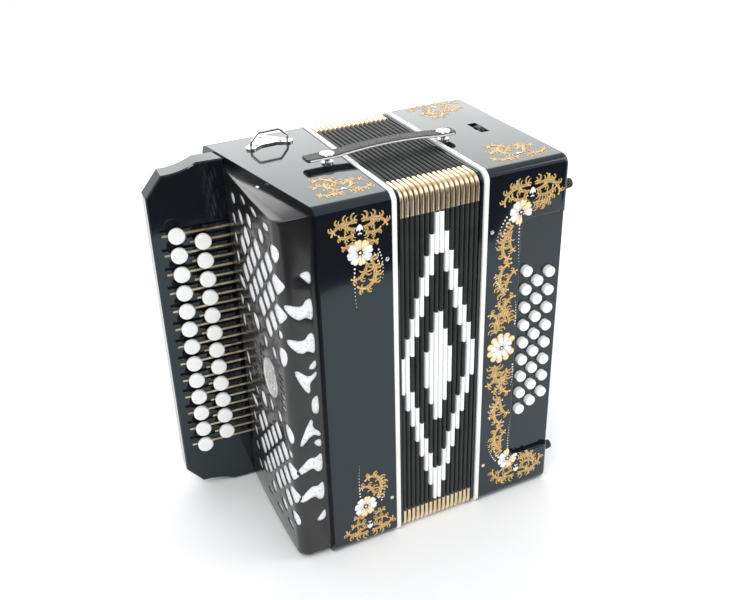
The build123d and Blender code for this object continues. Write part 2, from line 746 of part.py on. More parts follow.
strap_clamps = []
for clamp_z in (20.0, HEIGHT - 20.0):
    with BuildPart() as clamp:
        with Locations((strap_face_x + HAND_STRAP + 0.8, mid_y, clamp_z)):
            Box(1.6, HAND_STRAP_WIDTH + 2, 11)
    clamp_face = Plane.YZ.offset(strap_face_x + HAND_STRAP + 1.6)
    strap_clamps += [clamp.part]
    strap_clamps += [screw_head(clamp_face, mid_y + y, clamp_z, 2.6, 1.1) for y in (-22, 22)]
save_group([strap_band.part, *strap_clamps], "hand_strap")

# Bellows strap: leather with a snap cap on its left end and a screwed cap on its right end
strap_left_x = LEFT_STUD_X - 20
strap_right_x = RIGHT_STUD_X + 10
with BuildPart() as strap_leather:
    with BuildSketch(Plane.XZ.offset(-BELLOWS_STRAP_Y)):
        with BuildLine():
            low_z = BELLOWS_STRAP_Z
            top_z = BELLOWS_STRAP_Z + BELLOWS_STRAP
            middle_x = (strap_left_x + strap_right_x) / 2
            Line((strap_left_x, low_z), (LEFT_STUD_X + 6, low_z))
            ThreePointArc((LEFT_STUD_X + 6, low_z), (middle_x, low_z + 3), (RIGHT_STUD_X - 6, low_z))
            Line((RIGHT_STUD_X - 6, low_z), (strap_right_x, low_z))
            Line((strap_right_x, low_z), (strap_right_x, top_z))
            Line((strap_right_x, top_z), (RIGHT_STUD_X - 6, top_z))
            ThreePointArc((RIGHT_STUD_X - 6, top_z), (middle_x, top_z + 3), (LEFT_STUD_X + 6, top_z))
            Line((LEFT_STUD_X + 6, top_z), (strap_left_x, top_z))
            Line((strap_left_x, top_z), (strap_left_x, low_z))
        make_face()
    extrude(amount=BELLOWS_STRAP_WIDTH / 2, both=True)

strap_caps = [
    screw_head(Plane.XY.offset(BELLOWS_STRAP_Z + BELLOWS_STRAP), x, BELLOWS_STRAP_Y, 6.5, 1.6)
    for x in (LEFT_STUD_X, RIGHT_STUD_X)
]
save_group([strap_leather.part, *strap_caps], "bellows_strap")

# Air button: a cap on a stem through the end cover, with its valve pad inside
with BuildPart() as air_button:
    with BuildSketch(Plane.YZ.offset(bass_end_x + 4.6)):
        with Locations((AIR_Y, AIR_Z)):
            Circle(6.0)
    extrude(amount=4)
    fillet(air_button.faces().sort_by(Axis.X)[-1].edges(), 1.2)
    with BuildSketch(Plane.YZ.offset(bass_cover_x - 12)):
        with Locations((AIR_Y, AIR_Z)):
            Circle(AIR_STEM_RADIUS)
    extrude(amount=END_COVER + 12 + 4.6)
    with BuildSketch(Plane.YZ.offset(bass_cover_x - 2.3)):
        with Locations((AIR_Y, AIR_Z)):
            Circle(5.0)
    extrude(amount=2)
save(air_button.part, "air_button")

# Hand-strap wheel: a knurled wheel on its own axle
with BuildPart() as strap_wheel:
    with BuildSketch(Plane.YZ.offset(wheel_x - WHEEL_WIDTH / 2)):
        with Locations((wheel_y, wheel_z)):
            Circle(WHEEL_RADIUS)
            with PolarLocations(WHEEL_RADIUS + 0.4, 28):
                Circle(0.9, mode=Mode.SUBTRACT)
    extrude(amount=WHEEL_WIDTH)
    with BuildSketch(Plane.YZ.offset(wheel_x - WHEEL_WIDTH / 2 - 4)):
        with Locations((wheel_y, wheel_z)):
            Circle(2.0)
    extrude(amount=WHEEL_WIDTH + 8)
save(strap_wheel.part, "strap_wheel")
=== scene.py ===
"""Looks of the button accordion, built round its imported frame.

Metres; +X runs from treble to bass, +Y to the back and +Z up.
"""

import math
import random

import bmesh
import bpy
from mathutils import Matrix, Vector


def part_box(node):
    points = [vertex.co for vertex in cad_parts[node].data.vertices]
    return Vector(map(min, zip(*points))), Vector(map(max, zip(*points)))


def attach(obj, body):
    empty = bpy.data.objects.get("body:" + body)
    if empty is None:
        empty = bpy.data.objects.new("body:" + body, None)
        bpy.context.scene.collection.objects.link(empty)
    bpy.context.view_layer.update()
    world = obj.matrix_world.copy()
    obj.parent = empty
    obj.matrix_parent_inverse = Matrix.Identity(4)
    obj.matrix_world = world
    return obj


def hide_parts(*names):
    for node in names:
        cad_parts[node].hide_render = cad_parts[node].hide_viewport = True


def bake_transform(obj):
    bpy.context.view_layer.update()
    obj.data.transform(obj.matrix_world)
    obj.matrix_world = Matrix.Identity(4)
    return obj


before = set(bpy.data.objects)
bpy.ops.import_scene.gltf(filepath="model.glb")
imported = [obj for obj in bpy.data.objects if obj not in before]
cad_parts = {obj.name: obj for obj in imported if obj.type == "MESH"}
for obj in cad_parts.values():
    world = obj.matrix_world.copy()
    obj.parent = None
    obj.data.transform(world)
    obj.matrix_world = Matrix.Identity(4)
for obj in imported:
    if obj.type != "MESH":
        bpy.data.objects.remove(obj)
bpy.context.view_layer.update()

MM = 0.001
EPS = 0.00005
TREBLE = "treble_half"
BASS = "bass_half"
SHARP_ANGLE = math.radians(32)
# Points closer than this are one point
WELD = 0.002 * MM
# A fitting stands out of its wall by more than this
PROUD = 0.1 * MM
# The paint lies this far over its face, in millimetres
SKIN = 0.02

# Box outline, read from the frame: the bellows stand one millimetre inside it all round.
bellows_low, bellows_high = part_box("bellows")
FRONT = bellows_low.y - MM
BACK = bellows_high.y + MM
TOP = bellows_high.z + MM
MID_Y = (FRONT + BACK) / 2
MID_Z = TOP / 2
EDGE_RADIUS = 9 * MM
WALL = 8 * MM
BAND = 3 * MM
EDGING = 4 * MM
TREBLE_END = bellows_low.x - BAND - EDGING
BASS_START = bellows_high.x + BAND + EDGING

# Bellows
FOLDS = 16
FOLD_DEPTH = 11 * MM
BELLOWS_SKIN = 1.2 * MM
CORNER_DOWN = 13 * MM
CORNER_BACK = 15 * MM
CORNER_SHORT = 11 * MM
# How far the gold clips and the tape stand off the cloth
CLIP_LIFT = 0.45 * MM
TAPE_LIFT = 0.3 * MM

# Treble grille: its slanted rim, its side face and its lattice round the badge
RIM_SLOPE = 0.166
RIM_FRONT_X = -80 * MM
GRILLE_FACE = RIM_FRONT_X - 31 * MM
GRILLE_FRONT = FRONT + 5 * MM
GRILLE_BACK = FRONT + 140 * MM
GRILLE_CORNER = 10 * MM
GRILLE_TAPER = 4 * MM
COVER = 0.9 * MM
COVER_LOW = 6 * MM
COVER_HIGH = TOP - 6 * MM
BADGE_Y = FRONT + 46 * MM
BADGE_Z = MID_Z + 6 * MM
BADGE_SIZE = (15.5 * MM, 19 * MM)

# Levers
AXLE_Y = FRONT + 135.5 * MM
AXLE_X = RIM_FRONT_X - RIM_SLOPE * (AXLE_Y - FRONT) + 3.5 * MM * math.hypot(1, RIM_SLOPE)
LEVER_TILT = 0.07
LEVER_PITCH = 9.183 * MM


# ---------------------------------------------------------------- materials
def shader_of(material):
    return material.node_tree.nodes["Principled BSDF"]


def blank(name, colour, roughness, **sockets):
    """A Principled material. Each extra socket takes a constant, with underscores for spaces in its name."""
    material = bpy.data.materials.new(name)
    material.use_nodes = True
    inputs = shader_of(material).inputs
    inputs["Base Color"].default_value = (*colour, 1)
    inputs["Roughness"].default_value = roughness
    for socket, value in sockets.items():
        inputs[socket.replace("_", " ")].default_value = value
    return material


def node(material, kind, **settings):
    """Adds a node and sets its inputs by name, or its own properties where no input has that name."""
    made = material.node_tree.nodes.new(kind)
    for key, value in settings.items():
        label = key.replace("_", " ")
        if label in made.inputs:
            made.inputs[label].default_value = value
        else:
            setattr(made, key, value)
    return made


def link(material, source, output, target, socket):
    material.node_tree.links.new(source.outputs[output], target.inputs[socket])


def place(material, stretch=(1, 1, 1)):
    """Object coordinates, stretched along the axes."""
    coordinates = node(material, "ShaderNodeTexCoord")
    mapping = node(material, "ShaderNodeMapping")
    mapping.inputs["Scale"].default_value = stretch
    link(material, coordinates, "Object", mapping, "Vector")
    return mapping


def noise(material, scale, detail, stretch=(1, 1, 1)):
    texture = node(material, "ShaderNodeTexNoise", Scale=scale, Detail=detail)
    link(material, place(material, stretch), "Vector", texture, "Vector")
    return texture


def cells(material, scale):
    texture = node(material, "ShaderNodeTexVoronoi", Scale=scale)
    link(material, place(material), "Vector", texture, "Vector")
    return texture


def waves(material, scale, direction, distortion=0.0):
    texture = node(material, "ShaderNodeTexWave", Scale=scale, Distortion=distortion)
    texture.bands_direction = direction
    link(material, place(material), "Vector", texture, "Vector")
    return texture


def colour_from(material, source, stops, output="Fac"):
    """Colours the material by a ramp over a texture's output. Stops are (position, colour)."""
    ramp = node(material, "ShaderNodeValToRGB")
    elements = ramp.color_ramp.elements
    while len(elements) < len(stops):
        elements.new(0.5)
    for element, (position, colour) in zip(elements, stops):
        element.position = position
        element.color = (*colour, 1)
    link(material, source, output, ramp, "Fac")
    link(material, ramp, "Color", shader_of(material), "Base Color")


def roughness_from(material, source, low, high):
    """Lets a texture take the roughness from low to high."""
    scaled = node(material, "ShaderNodeMapRange")
    scaled.inputs["To Min"].default_value = low
    scaled.inputs["To Max"].default_value = high
    link(material, source, "Fac", scaled, "Value")
    link(material, scaled, "Result", shader_of(material), "Roughness")


def bump_from(material, source, strength, distance, output="Fac"):
    bump = node(material, "ShaderNodeBump", Strength=strength, Distance=distance)
    link(material, source, output, bump, "Height")
    link(material, bump, "Normal", shader_of(material), "Normal")


def lacquer():
    """Deep black polished lacquer with faint orange peel, cloudy polish and a few specks of dust."""
    made = blank("black_lacquer", (0.006, 0.007, 0.010), 0.06, Coat_Weight=0.2, Coat_Roughness=0.03)
    shader_of(made).inputs["Specular Tint"].default_value = (0.74, 0.95, 1.0, 1)
    dust = [(0.0, (0.16, 0.17, 0.18)), (0.035, (0.0065, 0.0075, 0.011))]
    colour_from(made, cells(made, 420), dust, "Distance")
    roughness_from(made, noise(made, 9, 6), 0.04, 0.13)
    bump_from(made, noise(made, 160, 2), 0.03, 0.0004)
    return made


def moulded_black():
    """Black moulded plastic with a soft gloss and light handling marks."""
    made = blank("grille_black", (0.011, 0.011, 0.012), 0.16, Coat_Weight=0.2, Coat_Roughness=0.12)
    colour_from(made, noise(made, 30, 5), [(0.3, (0.008, 0.008, 0.009)), (0.8, (0.017, 0.017, 0.017))])
    roughness_from(made, noise(made, 55, 6), 0.12, 0.3)
    bump_from(made, noise(made, 260, 3), 0.05, 0.0004)
    return made


def crinkled_foil():
    """Silver-white crinkled cloth behind the grille, with painted shade: grey in the low places of its
    crinkles.
    """
    made = blank("silver_lining", (0.93, 0.93, 0.94), 0.45)
    crease_relief_and_shade = noise(made, 260, 8)
    crease_relief_and_shade.inputs["Distortion"].default_value = 1.5
    # Painted shade: the crinkle texture that raises the cloth also greys it where it lies low.
    stops = [(0.36, (0.60, 0.62, 0.65)), (0.45, (0.96, 0.96, 0.97)), (0.62, (0.90, 0.91, 0.93))]
    colour_from(made, crease_relief_and_shade, stops)
    roughness_from(made, noise(made, 300, 3), 0.25, 0.5)
    bump_from(made, crease_relief_and_shade, 0.8, 0.0015)
    return made


def pearl():
    """Mother-of-pearl celluloid: cloudy white with faint cool and warm swirls."""
    made = blank("white_button", (0.87, 0.86, 0.82), 0.16, Coat_Weight=0.6, Coat_Roughness=0.05)
    swirls = noise(made, 95, 6, (1, 1, 2.4))
    swirls.inputs["Distortion"].default_value = 2.2
    stops = [(0.35, (0.97, 0.97, 0.95)), (0.55, (0.92, 0.92, 0.91)), (0.7, (0.96, 0.94, 0.90))]
    colour_from(made, swirls, stops)
    roughness_from(made, noise(made, 240, 3), 0.1, 0.24)
    return made


def bookcloth():
    """Black bookcloth with a fine weave."""
    made = blank("bellows_cloth", (0.012, 0.014, 0.013), 0.55, Sheen_Weight=0.08, Sheen_Roughness=0.5)
    colour_from(made, noise(made, 60, 5), [(0.3, (0.004, 0.006, 0.005)), (0.75, (0.012, 0.015, 0.014))])
    roughness_from(made, noise(made, 140, 4), 0.45, 0.65)
    bump_from(made, waves(made, 900, "Z", 1.0), 0.25, 0.0004)
    return made


def pale_gold():
    """Pale gold plated corner metal with fine rubbing marks and slight tarnish."""
    made = blank("gold_metal", (0.83, 0.70, 0.50), 0.3, Metallic=1.0)
    stops = [(0.25, (0.74, 0.58, 0.38)), (0.6, (0.86, 0.75, 0.57)), (0.9, (0.92, 0.84, 0.70))]
    colour_from(made, noise(made, 80, 5), stops)
    roughness_from(made, noise(made, 400, 4, (0.2, 1, 1)), 0.2, 0.42)
    bump_from(made, noise(made, 700, 2, (0.1, 1, 1)), 0.08, 0.0003)
    return made


def nickel():
    """Bright nickel plate, a little worn."""
    made = blank("silver_metal", (0.78, 0.76, 0.72), 0.18, Metallic=1.0)
    colour_from(made, noise(made, 140, 5), [(0.3, (0.62, 0.59, 0.54)), (0.6, (0.82, 0.80, 0.77))])
    roughness_from(made, noise(made, 320, 5), 0.1, 0.32)
    bump_from(made, noise(made, 600, 2), 0.06, 0.0003)
    return made


def drawn_wire():
    """Satin brass-coloured wire, brighter and darker along its length."""
    made = blank("lever_metal", (0.6, 0.5, 0.36), 0.34, Metallic=1.0)
    stops = [(0.3, (0.34, 0.25, 0.15)), (0.55, (0.62, 0.52, 0.37)), (0.8, (0.78, 0.71, 0.58))]
    colour_from(made, noise(made, 120, 6), stops)
    roughness_from(made, noise(made, 500, 3), 0.22, 0.5)
    return made


def leather():
    """Grained black leather, greyer where it has been rubbed."""
    made = blank("black_leather", (0.015, 0.015, 0.015), 0.42, Specular_IOR_Level=0.6)
    colour_from(made, noise(made, 70, 7), [(0.35, (0.010, 0.010, 0.010)), (0.8, (0.045, 0.044, 0.042))])
    roughness_from(made, noise(made, 200, 4), 0.3, 0.6)
    bump_from(made, cells(made, 900), 0.5, 0.0008, "Distance")
    return made


def leather_edge():
    """The pale cut edge of the strap, with its fibres."""
    made = blank("leather_edge", (0.62, 0.61, 0.58), 0.6)
    colour_from(made, noise(made, 400, 5), [(0.3, (0.66, 0.65, 0.63)), (0.7, (0.92, 0.91, 0.89))])
    bump_from(made, noise(made, 900, 4, (0.3, 1, 3)), 0.4, 0.0006)
    return made


def thread():
    """Waxed sewing thread with its spiral strands, with painted shade in the grooves between them and a
    painted highlight on their ridges.
    """
    made = blank("strap_thread", (0.10, 0.10, 0.10), 0.5, Sheen_Weight=0.3)
    twist_relief_and_shade = waves(made, 2500, "DIAGONAL")
    # Painted shade and highlight: the same waves that raise the strands darken their grooves and lighten
    # their ridges.
    colour_from(made, twist_relief_and_shade, [(0.2, (0.05, 0.05, 0.05)), (0.8, (0.2, 0.2, 0.19))])
    bump_from(made, twist_relief_and_shade, 0.5, 0.0004)
    return made


def celluloid():
    """White celluloid edging, slightly aged."""
    made = blank("white_edging", (0.87, 0.86, 0.83), 0.22, Coat_Weight=0.4, Coat_Roughness=0.1)
    colour_from(made, noise(made, 40, 6), [(0.3, (0.90, 0.90, 0.88)), (0.8, (0.80, 0.78, 0.73))])
    roughness_from(made, noise(made, 180, 4), 0.15, 0.35)
    return made


def tape():
    """White woven tape glued over the folds."""
    made = blank("white_tape", (0.84, 0.85, 0.86), 0.5, Sheen_Weight=0.2)
    colour_from(made, noise(made, 220, 5), [(0.3, (0.92, 0.93, 0.94)), (0.7, (0.97, 0.97, 0.97))])
    bump_from(made, waves(made, 1100, "Z", 1.5), 0.12, 0.0002)
    return made


def stroke_tone(material):
    """The painted strokes' own attribute: 0 at the edge of a stroke and 1 along its middle."""
    return node(material, "ShaderNodeAttribute", attribute_name="tone")


def gold_paint():
    """Hand-painted gold: brown in the shaded edge of each stroke and bright along its middle."""
    made = blank("gold_paint", (0.72, 0.5, 0.17), 0.35, Metallic=0.2)
    tone = stroke_tone(made)
    shaken = node(made, "ShaderNodeMath", operation="MULTIPLY_ADD")
    link(made, noise(made, 700, 5), "Fac", shaken, 0)
    shaken.inputs[1].default_value = 0.5
    link(made, tone, "Fac", shaken, 2)
    brown, ochre = (0.05, 0.02, 0.004), (0.24, 0.12, 0.025)
    gold, bright = (0.48, 0.275, 0.075), (0.82, 0.57, 0.24)
    colour_from(made, shaken, [(0.25, brown), (0.5, ochre), (0.8, gold), (1.0, bright)], "Value")
    return made


def petal_paint(name, colour, stops):
    """Glossy paint that runs through its stops from the edge of each stroke to its middle."""
    made = blank(name, colour, 0.3, Coat_Weight=0.5, Coat_Roughness=0.06)
    colour_from(made, stroke_tone(made), stops)
    bump_from(made, noise(made, 900, 3), 0.1, 0.0003)
    return made


def white_paint():
    """Hand-painted white with grey shading towards the edge of each stroke."""
    stops = [(0.0, (0.32, 0.33, 0.35)), (0.45, (0.85, 0.85, 0.83)), (1.0, (0.93, 0.92, 0.90))]
    return petal_paint("white_paint", (0.85, 0.85, 0.83), stops)


def cream_paint():
    """Warm cream petals, ochre at the shaded edge."""
    stops = [(0.0, (0.45, 0.26, 0.07)), (0.5, (0.88, 0.66, 0.30)), (1.0, (0.94, 0.84, 0.60))]
    return petal_paint("cream_paint", (0.9, 0.75, 0.48), stops)


def dark_paint():
    """The dark brown line work over the petals and leaves."""
    made = blank("dark_paint", (0.035, 0.02, 0.01), 0.3, Coat_Weight=0.5, Coat_Roughness=0.06)
    colour_from(made, noise(made, 600, 3), [(0.3, (0.02, 0.012, 0.006)), (0.8, (0.07, 0.04, 0.016))])
    return made


def rubber():
    """Matte black rubber."""
    made = blank("rubber_feet", (0.022, 0.022, 0.022), 0.75)
    colour_from(made, noise(made, 200, 5), [(0.3, (0.016, 0.016, 0.016)), (0.8, (0.04, 0.04, 0.039))])
    bump_from(made, noise(made, 900, 4), 0.3, 0.0005)
    return made


def satin_plastic():
    """Satin black plastic for the air button."""
    made = blank("black_plastic", (0.016, 0.016, 0.017), 0.35)
    roughness_from(made, noise(made, 260, 4), 0.28, 0.48)
    bump_from(made, noise(made, 1100, 3), 0.12, 0.0004)
    return made


def blued_steel():
    """Blackened steel with bright wear on its ridges."""
    made = blank("black_steel", (0.06, 0.057, 0.055), 0.36, Metallic=0.9)
    colour_from(made, noise(made, 420, 6), [(0.45, (0.035, 0.034, 0.033)), (0.75, (0.22, 0.21, 0.19))])
    roughness_from(made, noise(made, 300, 3), 0.25, 0.5)
    return made


def beech():
    """Plain beech with its grain running up the instrument."""
    made = blank("pallet_wood", (0.55, 0.39, 0.24), 0.5)
    grain = noise(made, 130, 8, (1, 1, 0.12))
    colour_from(made, grain, [(0.3, (0.42, 0.27, 0.15)), (0.7, (0.64, 0.47, 0.30))])
    bump_from(made, grain, 0.2, 0.0006)
    return made


def badge_metal():
    """Silvery badge metal, darkened in its low places."""
    made = blank("badge_metal", (0.75, 0.74, 0.72), 0.26, Metallic=0.85)
    colour_from(made, noise(made, 500, 5), [(0.3, (0.5, 0.49, 0.47)), (0.65, (0.84, 0.83, 0.81))])
    roughness_from(made, noise(made, 350, 4), 0.18, 0.4)
    return made


def floor_paper():
    """Seamless white paper."""
    made = blank("floor_paper", (0.93, 0.93, 0.93), 0.7)
    colour_from(made, noise(made, 3, 3), [(0.3, (0.92, 0.92, 0.925)), (0.7, (0.94, 0.94, 0.94))])
    return made


LACQUER = lacquer()
GRILLE = moulded_black()
FOIL = crinkled_foil()
PEARL = pearl()
CLOTH = bookcloth()
GOLD = pale_gold()
NICKEL = nickel()
WIRE = drawn_wire()
LEATHER = leather()
LEATHER_EDGE = leather_edge()
THREAD = thread()
CELLULOID = celluloid()
TAPE = tape()
PAINTS = {"gold": gold_paint(), "white": white_paint(), "cream": cream_paint(), "dark": dark_paint()}
RUBBER = rubber()
PLASTIC = satin_plastic()
BLACK_STEEL = blued_steel()
BEECH = beech()
BADGE = badge_metal()


# ---------------------------------------------------------------- mesh helpers
def put(name, data):
    """Adds an object that shows a mesh, a light or a camera to the scene."""
    holder = bpy.data.objects.new(name, data)
    bpy.context.scene.collection.objects.link(holder)
    return holder


def settle(mesh, weld=0.0):
    """Welds points closer than a distance, turns the faces outwards and shades them smooth."""
    bm = bmesh.new()
    bm.from_mesh(mesh)
    if weld:
        bmesh.ops.remove_doubles(bm, verts=bm.verts, dist=weld)
    bmesh.ops.recalc_face_normals(bm, faces=bm.faces)
    bm.to_mesh(mesh)
    bm.free()
    mesh.shade_smooth()


def new_piece(name, points, faces, material, slot, body=None, replaces=()):
    """Makes a mesh piece from points and faces, smooth between its sharp edges."""
    mesh = bpy.data.meshes.new(name)
    mesh.from_pydata([tuple(p) for p in points], [], faces)
    return finish_piece(name, mesh, material, slot, body, replaces)


def finish_piece(name, mesh, material, slot, body, replaces):
    """Welds, shades and places a mesh, gives it its finish and lets it ride on its body."""
    settle(mesh, WELD)
    mesh.set_sharp_from_angle(angle=SHARP_ANGLE)
    mesh.materials.clear()
    mesh.materials.append(material)
    piece = put(name, mesh)
    if body:
        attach(piece, body)
    if replaces:
        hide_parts(*replaces)
    return piece


def split_node(name, body, parts):
    """Copies a CAD node's faces into separate pieces.

    Each part is (piece name, material, slot, test). A face goes to the first whose test its corners pass.
    """
    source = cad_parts[name].data
    picked = [[] for _ in parts]
    for polygon in source.polygons:
        corners = [source.vertices[i].co for i in polygon.vertices]
        for polygons, (_, _, _, test) in zip(picked, parts):
            if test(corners):
                polygons.append(polygon)
                break
    for (piece_name, material, slot, _), polygons in zip(parts, picked):
        used = sorted({i for polygon in polygons for i in polygon.vertices})
        place_of = {old: new for new, old in enumerate(used)}
        points = [source.vertices[i].co for i in used]
        faces = [[place_of[i] for i in polygon.vertices] for polygon in polygons]
        new_piece(piece_name, points, faces, material, slot, body, (name,))


def within(axis, low, high):
    """A test: every corner lies between two places along an axis (0, 1 or 2)."""
    return lambda corners: all(low - EPS <= c[axis] <= high + EPS for c in corners)


def anything(_corners):
    """A test that every face passes: what the tests before it have left."""
    return True


def grid_faces(rows, columns, closed_rows=False, closed_columns=False):
    """Quads over a grid of points stored row by row."""
    faces = []
    for r in range(rows if closed_rows else rows - 1):
        here, above = r * columns, (r + 1) % rows * columns
        for c in range(columns if closed_columns else columns - 1):
            next_c = (c + 1) % columns
            faces.append((here + c, here + next_c, above + next_c, above + c))
    return faces


def moved(faces, first):
    """The same faces over points that are stored from the first one on."""
    return [tuple(first + i for i in face) for face in faces]


def tube_faces(rings, count, first=0):
    """Quads along a tube of rings of count points each, with both its ends closed."""
    ends = [tuple(reversed(range(count))), tuple(range((rings - 1) * count, rings * count))]
    return moved(grid_faces(rings, count, closed_columns=True) + ends, first)


def smooth_loop(points, rounds):
    """Corner cutting: a closed outline with its corners rounded."""
    for _ in range(rounds):
        cut = []
        for index, point in enumerate(points):
            following = points[(index + 1) % len(points)]
            for near in (0.75, 0.25):
                cut.append(tuple(near * a + (1 - near) * b for a, b in zip(point, following)))
        points = cut
    return points


def lathe(name, centre, axis, profile, material, slot, body, steps=40, replaces=()):
    """A turned piece. The profile holds its (radius, height along the axis) pairs, in millimetres."""
    axis = Vector(axis)
    side = axis.orthogonal().normalized()
    other = axis.cross(side)
    points = []
    for radius, height in profile:
        for step in range(steps):
            turn = 2 * math.pi * step / steps
            outward = side * math.cos(turn) + other * math.sin(turn)
            points.append(Vector(centre) + (axis * height + radius * outward) * MM)
    faces = grid_faces(len(profile), steps, closed_columns=True)
    new_piece(name, points, faces, material, slot, body, replaces)


# ---------------------------------------------------------------- boxes
def on_top(corners):
    """A stud standing on the top face, and not part of the white strips."""
    stands = all(c.z >= TOP - EPS for c in corners) and any(c.z > TOP + PROUD for c in corners)
    return stands and not is_edging(corners)


def well_inside(corner, margin):
    """Whether a corner lies at least a margin in from the box's front, back, bottom and top."""
    return FRONT + margin <= corner.y <= BACK - margin and margin <= corner.z <= TOP - margin


def is_edging(corners):
    """Part of one of the two white strips."""
    treble_strip = within(0, TREBLE_END, TREBLE_END + EDGING)
    bass_strip = within(0, BASS_START - EDGING, BASS_START)
    return treble_strip(corners) or bass_strip(corners)


def pins_between(low, high):
    """A test: a pin head on the front wall, between two places along X."""

    def test(corners):
        stands = all(c.y <= FRONT + EPS for c in corners) and any(c.y < FRONT - PROUD for c in corners)
        return stands and within(0, low, high)(corners) and not is_edging(corners)

    return test


def inner_wood(corners):
    """Inside the cavity, and not a face of the cavity's own wall."""
    in_cavity = all(well_inside(c, WALL - EPS) for c in corners)
    return in_cavity and any(well_inside(c, WALL + 0.2 * MM) for c in corners)


def treble_box():
    edging_end = TREBLE_END + EDGING
    split_node(
        "treble_case",
        TREBLE,
        [
            ("treble_stud", NICKEL, "silver_metal", on_top),
            ("treble_front_pins", NICKEL, "silver_metal", pins_between(-1, TREBLE_END)),
            ("treble_edging", CELLULOID, "white_edging", within(0, TREBLE_END, edging_end)),
            ("treble_bellows_band", LACQUER, "black_lacquer", within(0, edging_end, edging_end + BAND)),
            ("treble_inner_wood", BEECH, "pallet_wood", inner_wood),
            ("treble_walls", LACQUER, "black_lacquer", anything),
        ],
    )


def bass_box():
    edging_start = BASS_START - EDGING
    cover_start = BASS_START + 72.5 * MM
    cover_end = cover_start + 6 * MM
    split_node(
        "bass_case",
        BASS,
        [
            ("bass_stud", NICKEL, "silver_metal", on_top),
            ("bass_feet", RUBBER, "rubber_feet", within(0, cover_end, 1)),
            ("bass_front_pins", NICKEL, "silver_metal", pins_between(BASS_START, 1)),
            ("bass_edging", CELLULOID, "white_edging", within(0, edging_start, BASS_START)),
            ("bass_bellows_band", LACQUER, "black_lacquer", within(0, edging_start - BAND, edging_start)),
            ("bass_end_cover", LACQUER, "black_lacquer", within(0, cover_start, cover_end)),
            ("bass_inner_wood", BEECH, "pallet_wood", inner_wood),
            ("bass_walls", LACQUER, "black_lacquer", anything),
        ],
    )


# ---------------------------------------------------------------- bellows
FOLD_PITCH = (bellows_high.x - bellows_low.x) / FOLDS
# One fold's cross-section: (share of the pitch, share of the depth below the peak)
FOLD_PROFILE = (
    (0.0, 1.0), (0.07, 0.45), (0.12, 0.16), (0.2, 0.06), (0.34, 0.015),
    (0.5, 0.0), (0.66, 0.015), (0.8, 0.06), (0.88, 0.16), (0.93, 0.45),
)
# The part of it that the gold clips and the tape lie over
PEAK_PROFILE = FOLD_PROFILE[1:]
ARC_STEPS = 6


def corner_arc(index, inset):
    """Points round one corner of the bellows: 0 is top front, 1 top back, 2 low back and 3 low front."""
    radius = EDGE_RADIUS - inset / 3
    sign_y = -1 if index in (0, 3) else 1
    sign_z = 1 if index in (0, 1) else -1
    half_y = (BACK - FRONT) / 2 - MM - inset
    half_z = TOP / 2 - MM - inset
    centre_y = MID_Y + sign_y * (half_y - radius)
    centre_z = MID_Z + sign_z * (half_z - radius)
    turns = [math.pi - math.pi / 2 * (index + step / ARC_STEPS) for step in range(ARC_STEPS + 1)]
    return [(centre_y + radius * math.cos(t), centre_z + radius * math.sin(t)) for t in turns]


def outline(inset):
    """The whole rounded rectangle, clockwise from the front of the top front corner."""
    return [point for index in range(4) for point in corner_arc(index, inset)]


def fold_x(fold, share):
    """The place along X of a share of the pitch within one fold."""
    return bellows_low.x + (fold + share) * FOLD_PITCH


def bellows_piece(name, points, faces, material, slot):
    """Makes a piece that stands in for part of the CAD bellows, which it hides."""
    piece = new_piece(name, points, faces, material, slot, replaces=("bellows",))
    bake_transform(piece)


def folds():
    """The pleated skin as one closed band: its outer face, then its inner face."""
    rows = []
    for fold in range(FOLDS):
        rows += [(fold_x(fold, share), depth * FOLD_DEPTH) for share, depth in FOLD_PROFILE]
    rows.append((bellows_high.x, FOLD_DEPTH))
    rows += [(x, inset + BELLOWS_SKIN) for x, inset in reversed(rows)]
    points = [(x, y, z) for x, inset in rows for y, z in outline(inset)]
    faces = grid_faces(len(rows), 4 * (ARC_STEPS + 1), closed_rows=True, closed_columns=True)
    bellows_piece("bellows_folds", points, faces, CLOTH, "bellows_cloth")


def strip_over_fold(path_at, lift, fold, points, faces):
    """Adds a thin closed strip over one fold's peak. path_at(inset) gives its (y, z) path."""
    levels = [(share, depth, lift) for share, depth in PEAK_PROFILE]
    levels += [(share, depth, lift / 3) for share, depth in reversed(PEAK_PROFILE)]
    first = len(points)
    for share, depth, height in levels:
        path = path_at(depth * FOLD_DEPTH - height)
        points += [(fold_x(fold, share), y, z) for y, z in path]
    length = len(path_at(0.0))
    rows = range(len(levels))
    ends = [tuple(row * length for row in rows), tuple(row * length + length - 1 for row in reversed(rows))]
    faces += moved(grid_faces(len(levels), length, closed_rows=True) + ends, first)


def corner_path(index, first_reach, last_reach):
    """A path round a corner, with straight stretches of the given lengths on both sides."""

    def at(inset):
        arc = corner_arc(index, inset)
        (y0, z0), (y1, z1) = arc[0], arc[-1]
        down = -1 if index in (0, 1) else 1
        inward = 1 if index in (0, 3) else -1
        if index in (0, 2):
            return [(y0, z0 + down * first_reach), *arc, (y1 + inward * last_reach, z1)]
        return [(y0 + inward * first_reach, z0), *arc, (y1, z1 + down * last_reach)]

    return at


def gold_corners():
    """A metal clip on every fold at each of the four corners."""
    reaches = (
        ("top_front", CORNER_DOWN, CORNER_BACK),
        ("top_back", CORNER_SHORT, CORNER_SHORT),
        ("low_back", CORNER_SHORT, CORNER_SHORT),
        ("low_front", CORNER_SHORT, CORNER_SHORT),
    )
    for index, (label, first_reach, last_reach) in enumerate(reaches):
        points, faces = [], []
        path_at = corner_path(index, first_reach, last_reach)
        for fold in range(FOLDS):
            strip_over_fold(path_at, CLIP_LIFT, fold, points, faces)
        bellows_piece(f"bellows_corners_{label}", points, faces, GOLD, "gold_metal")


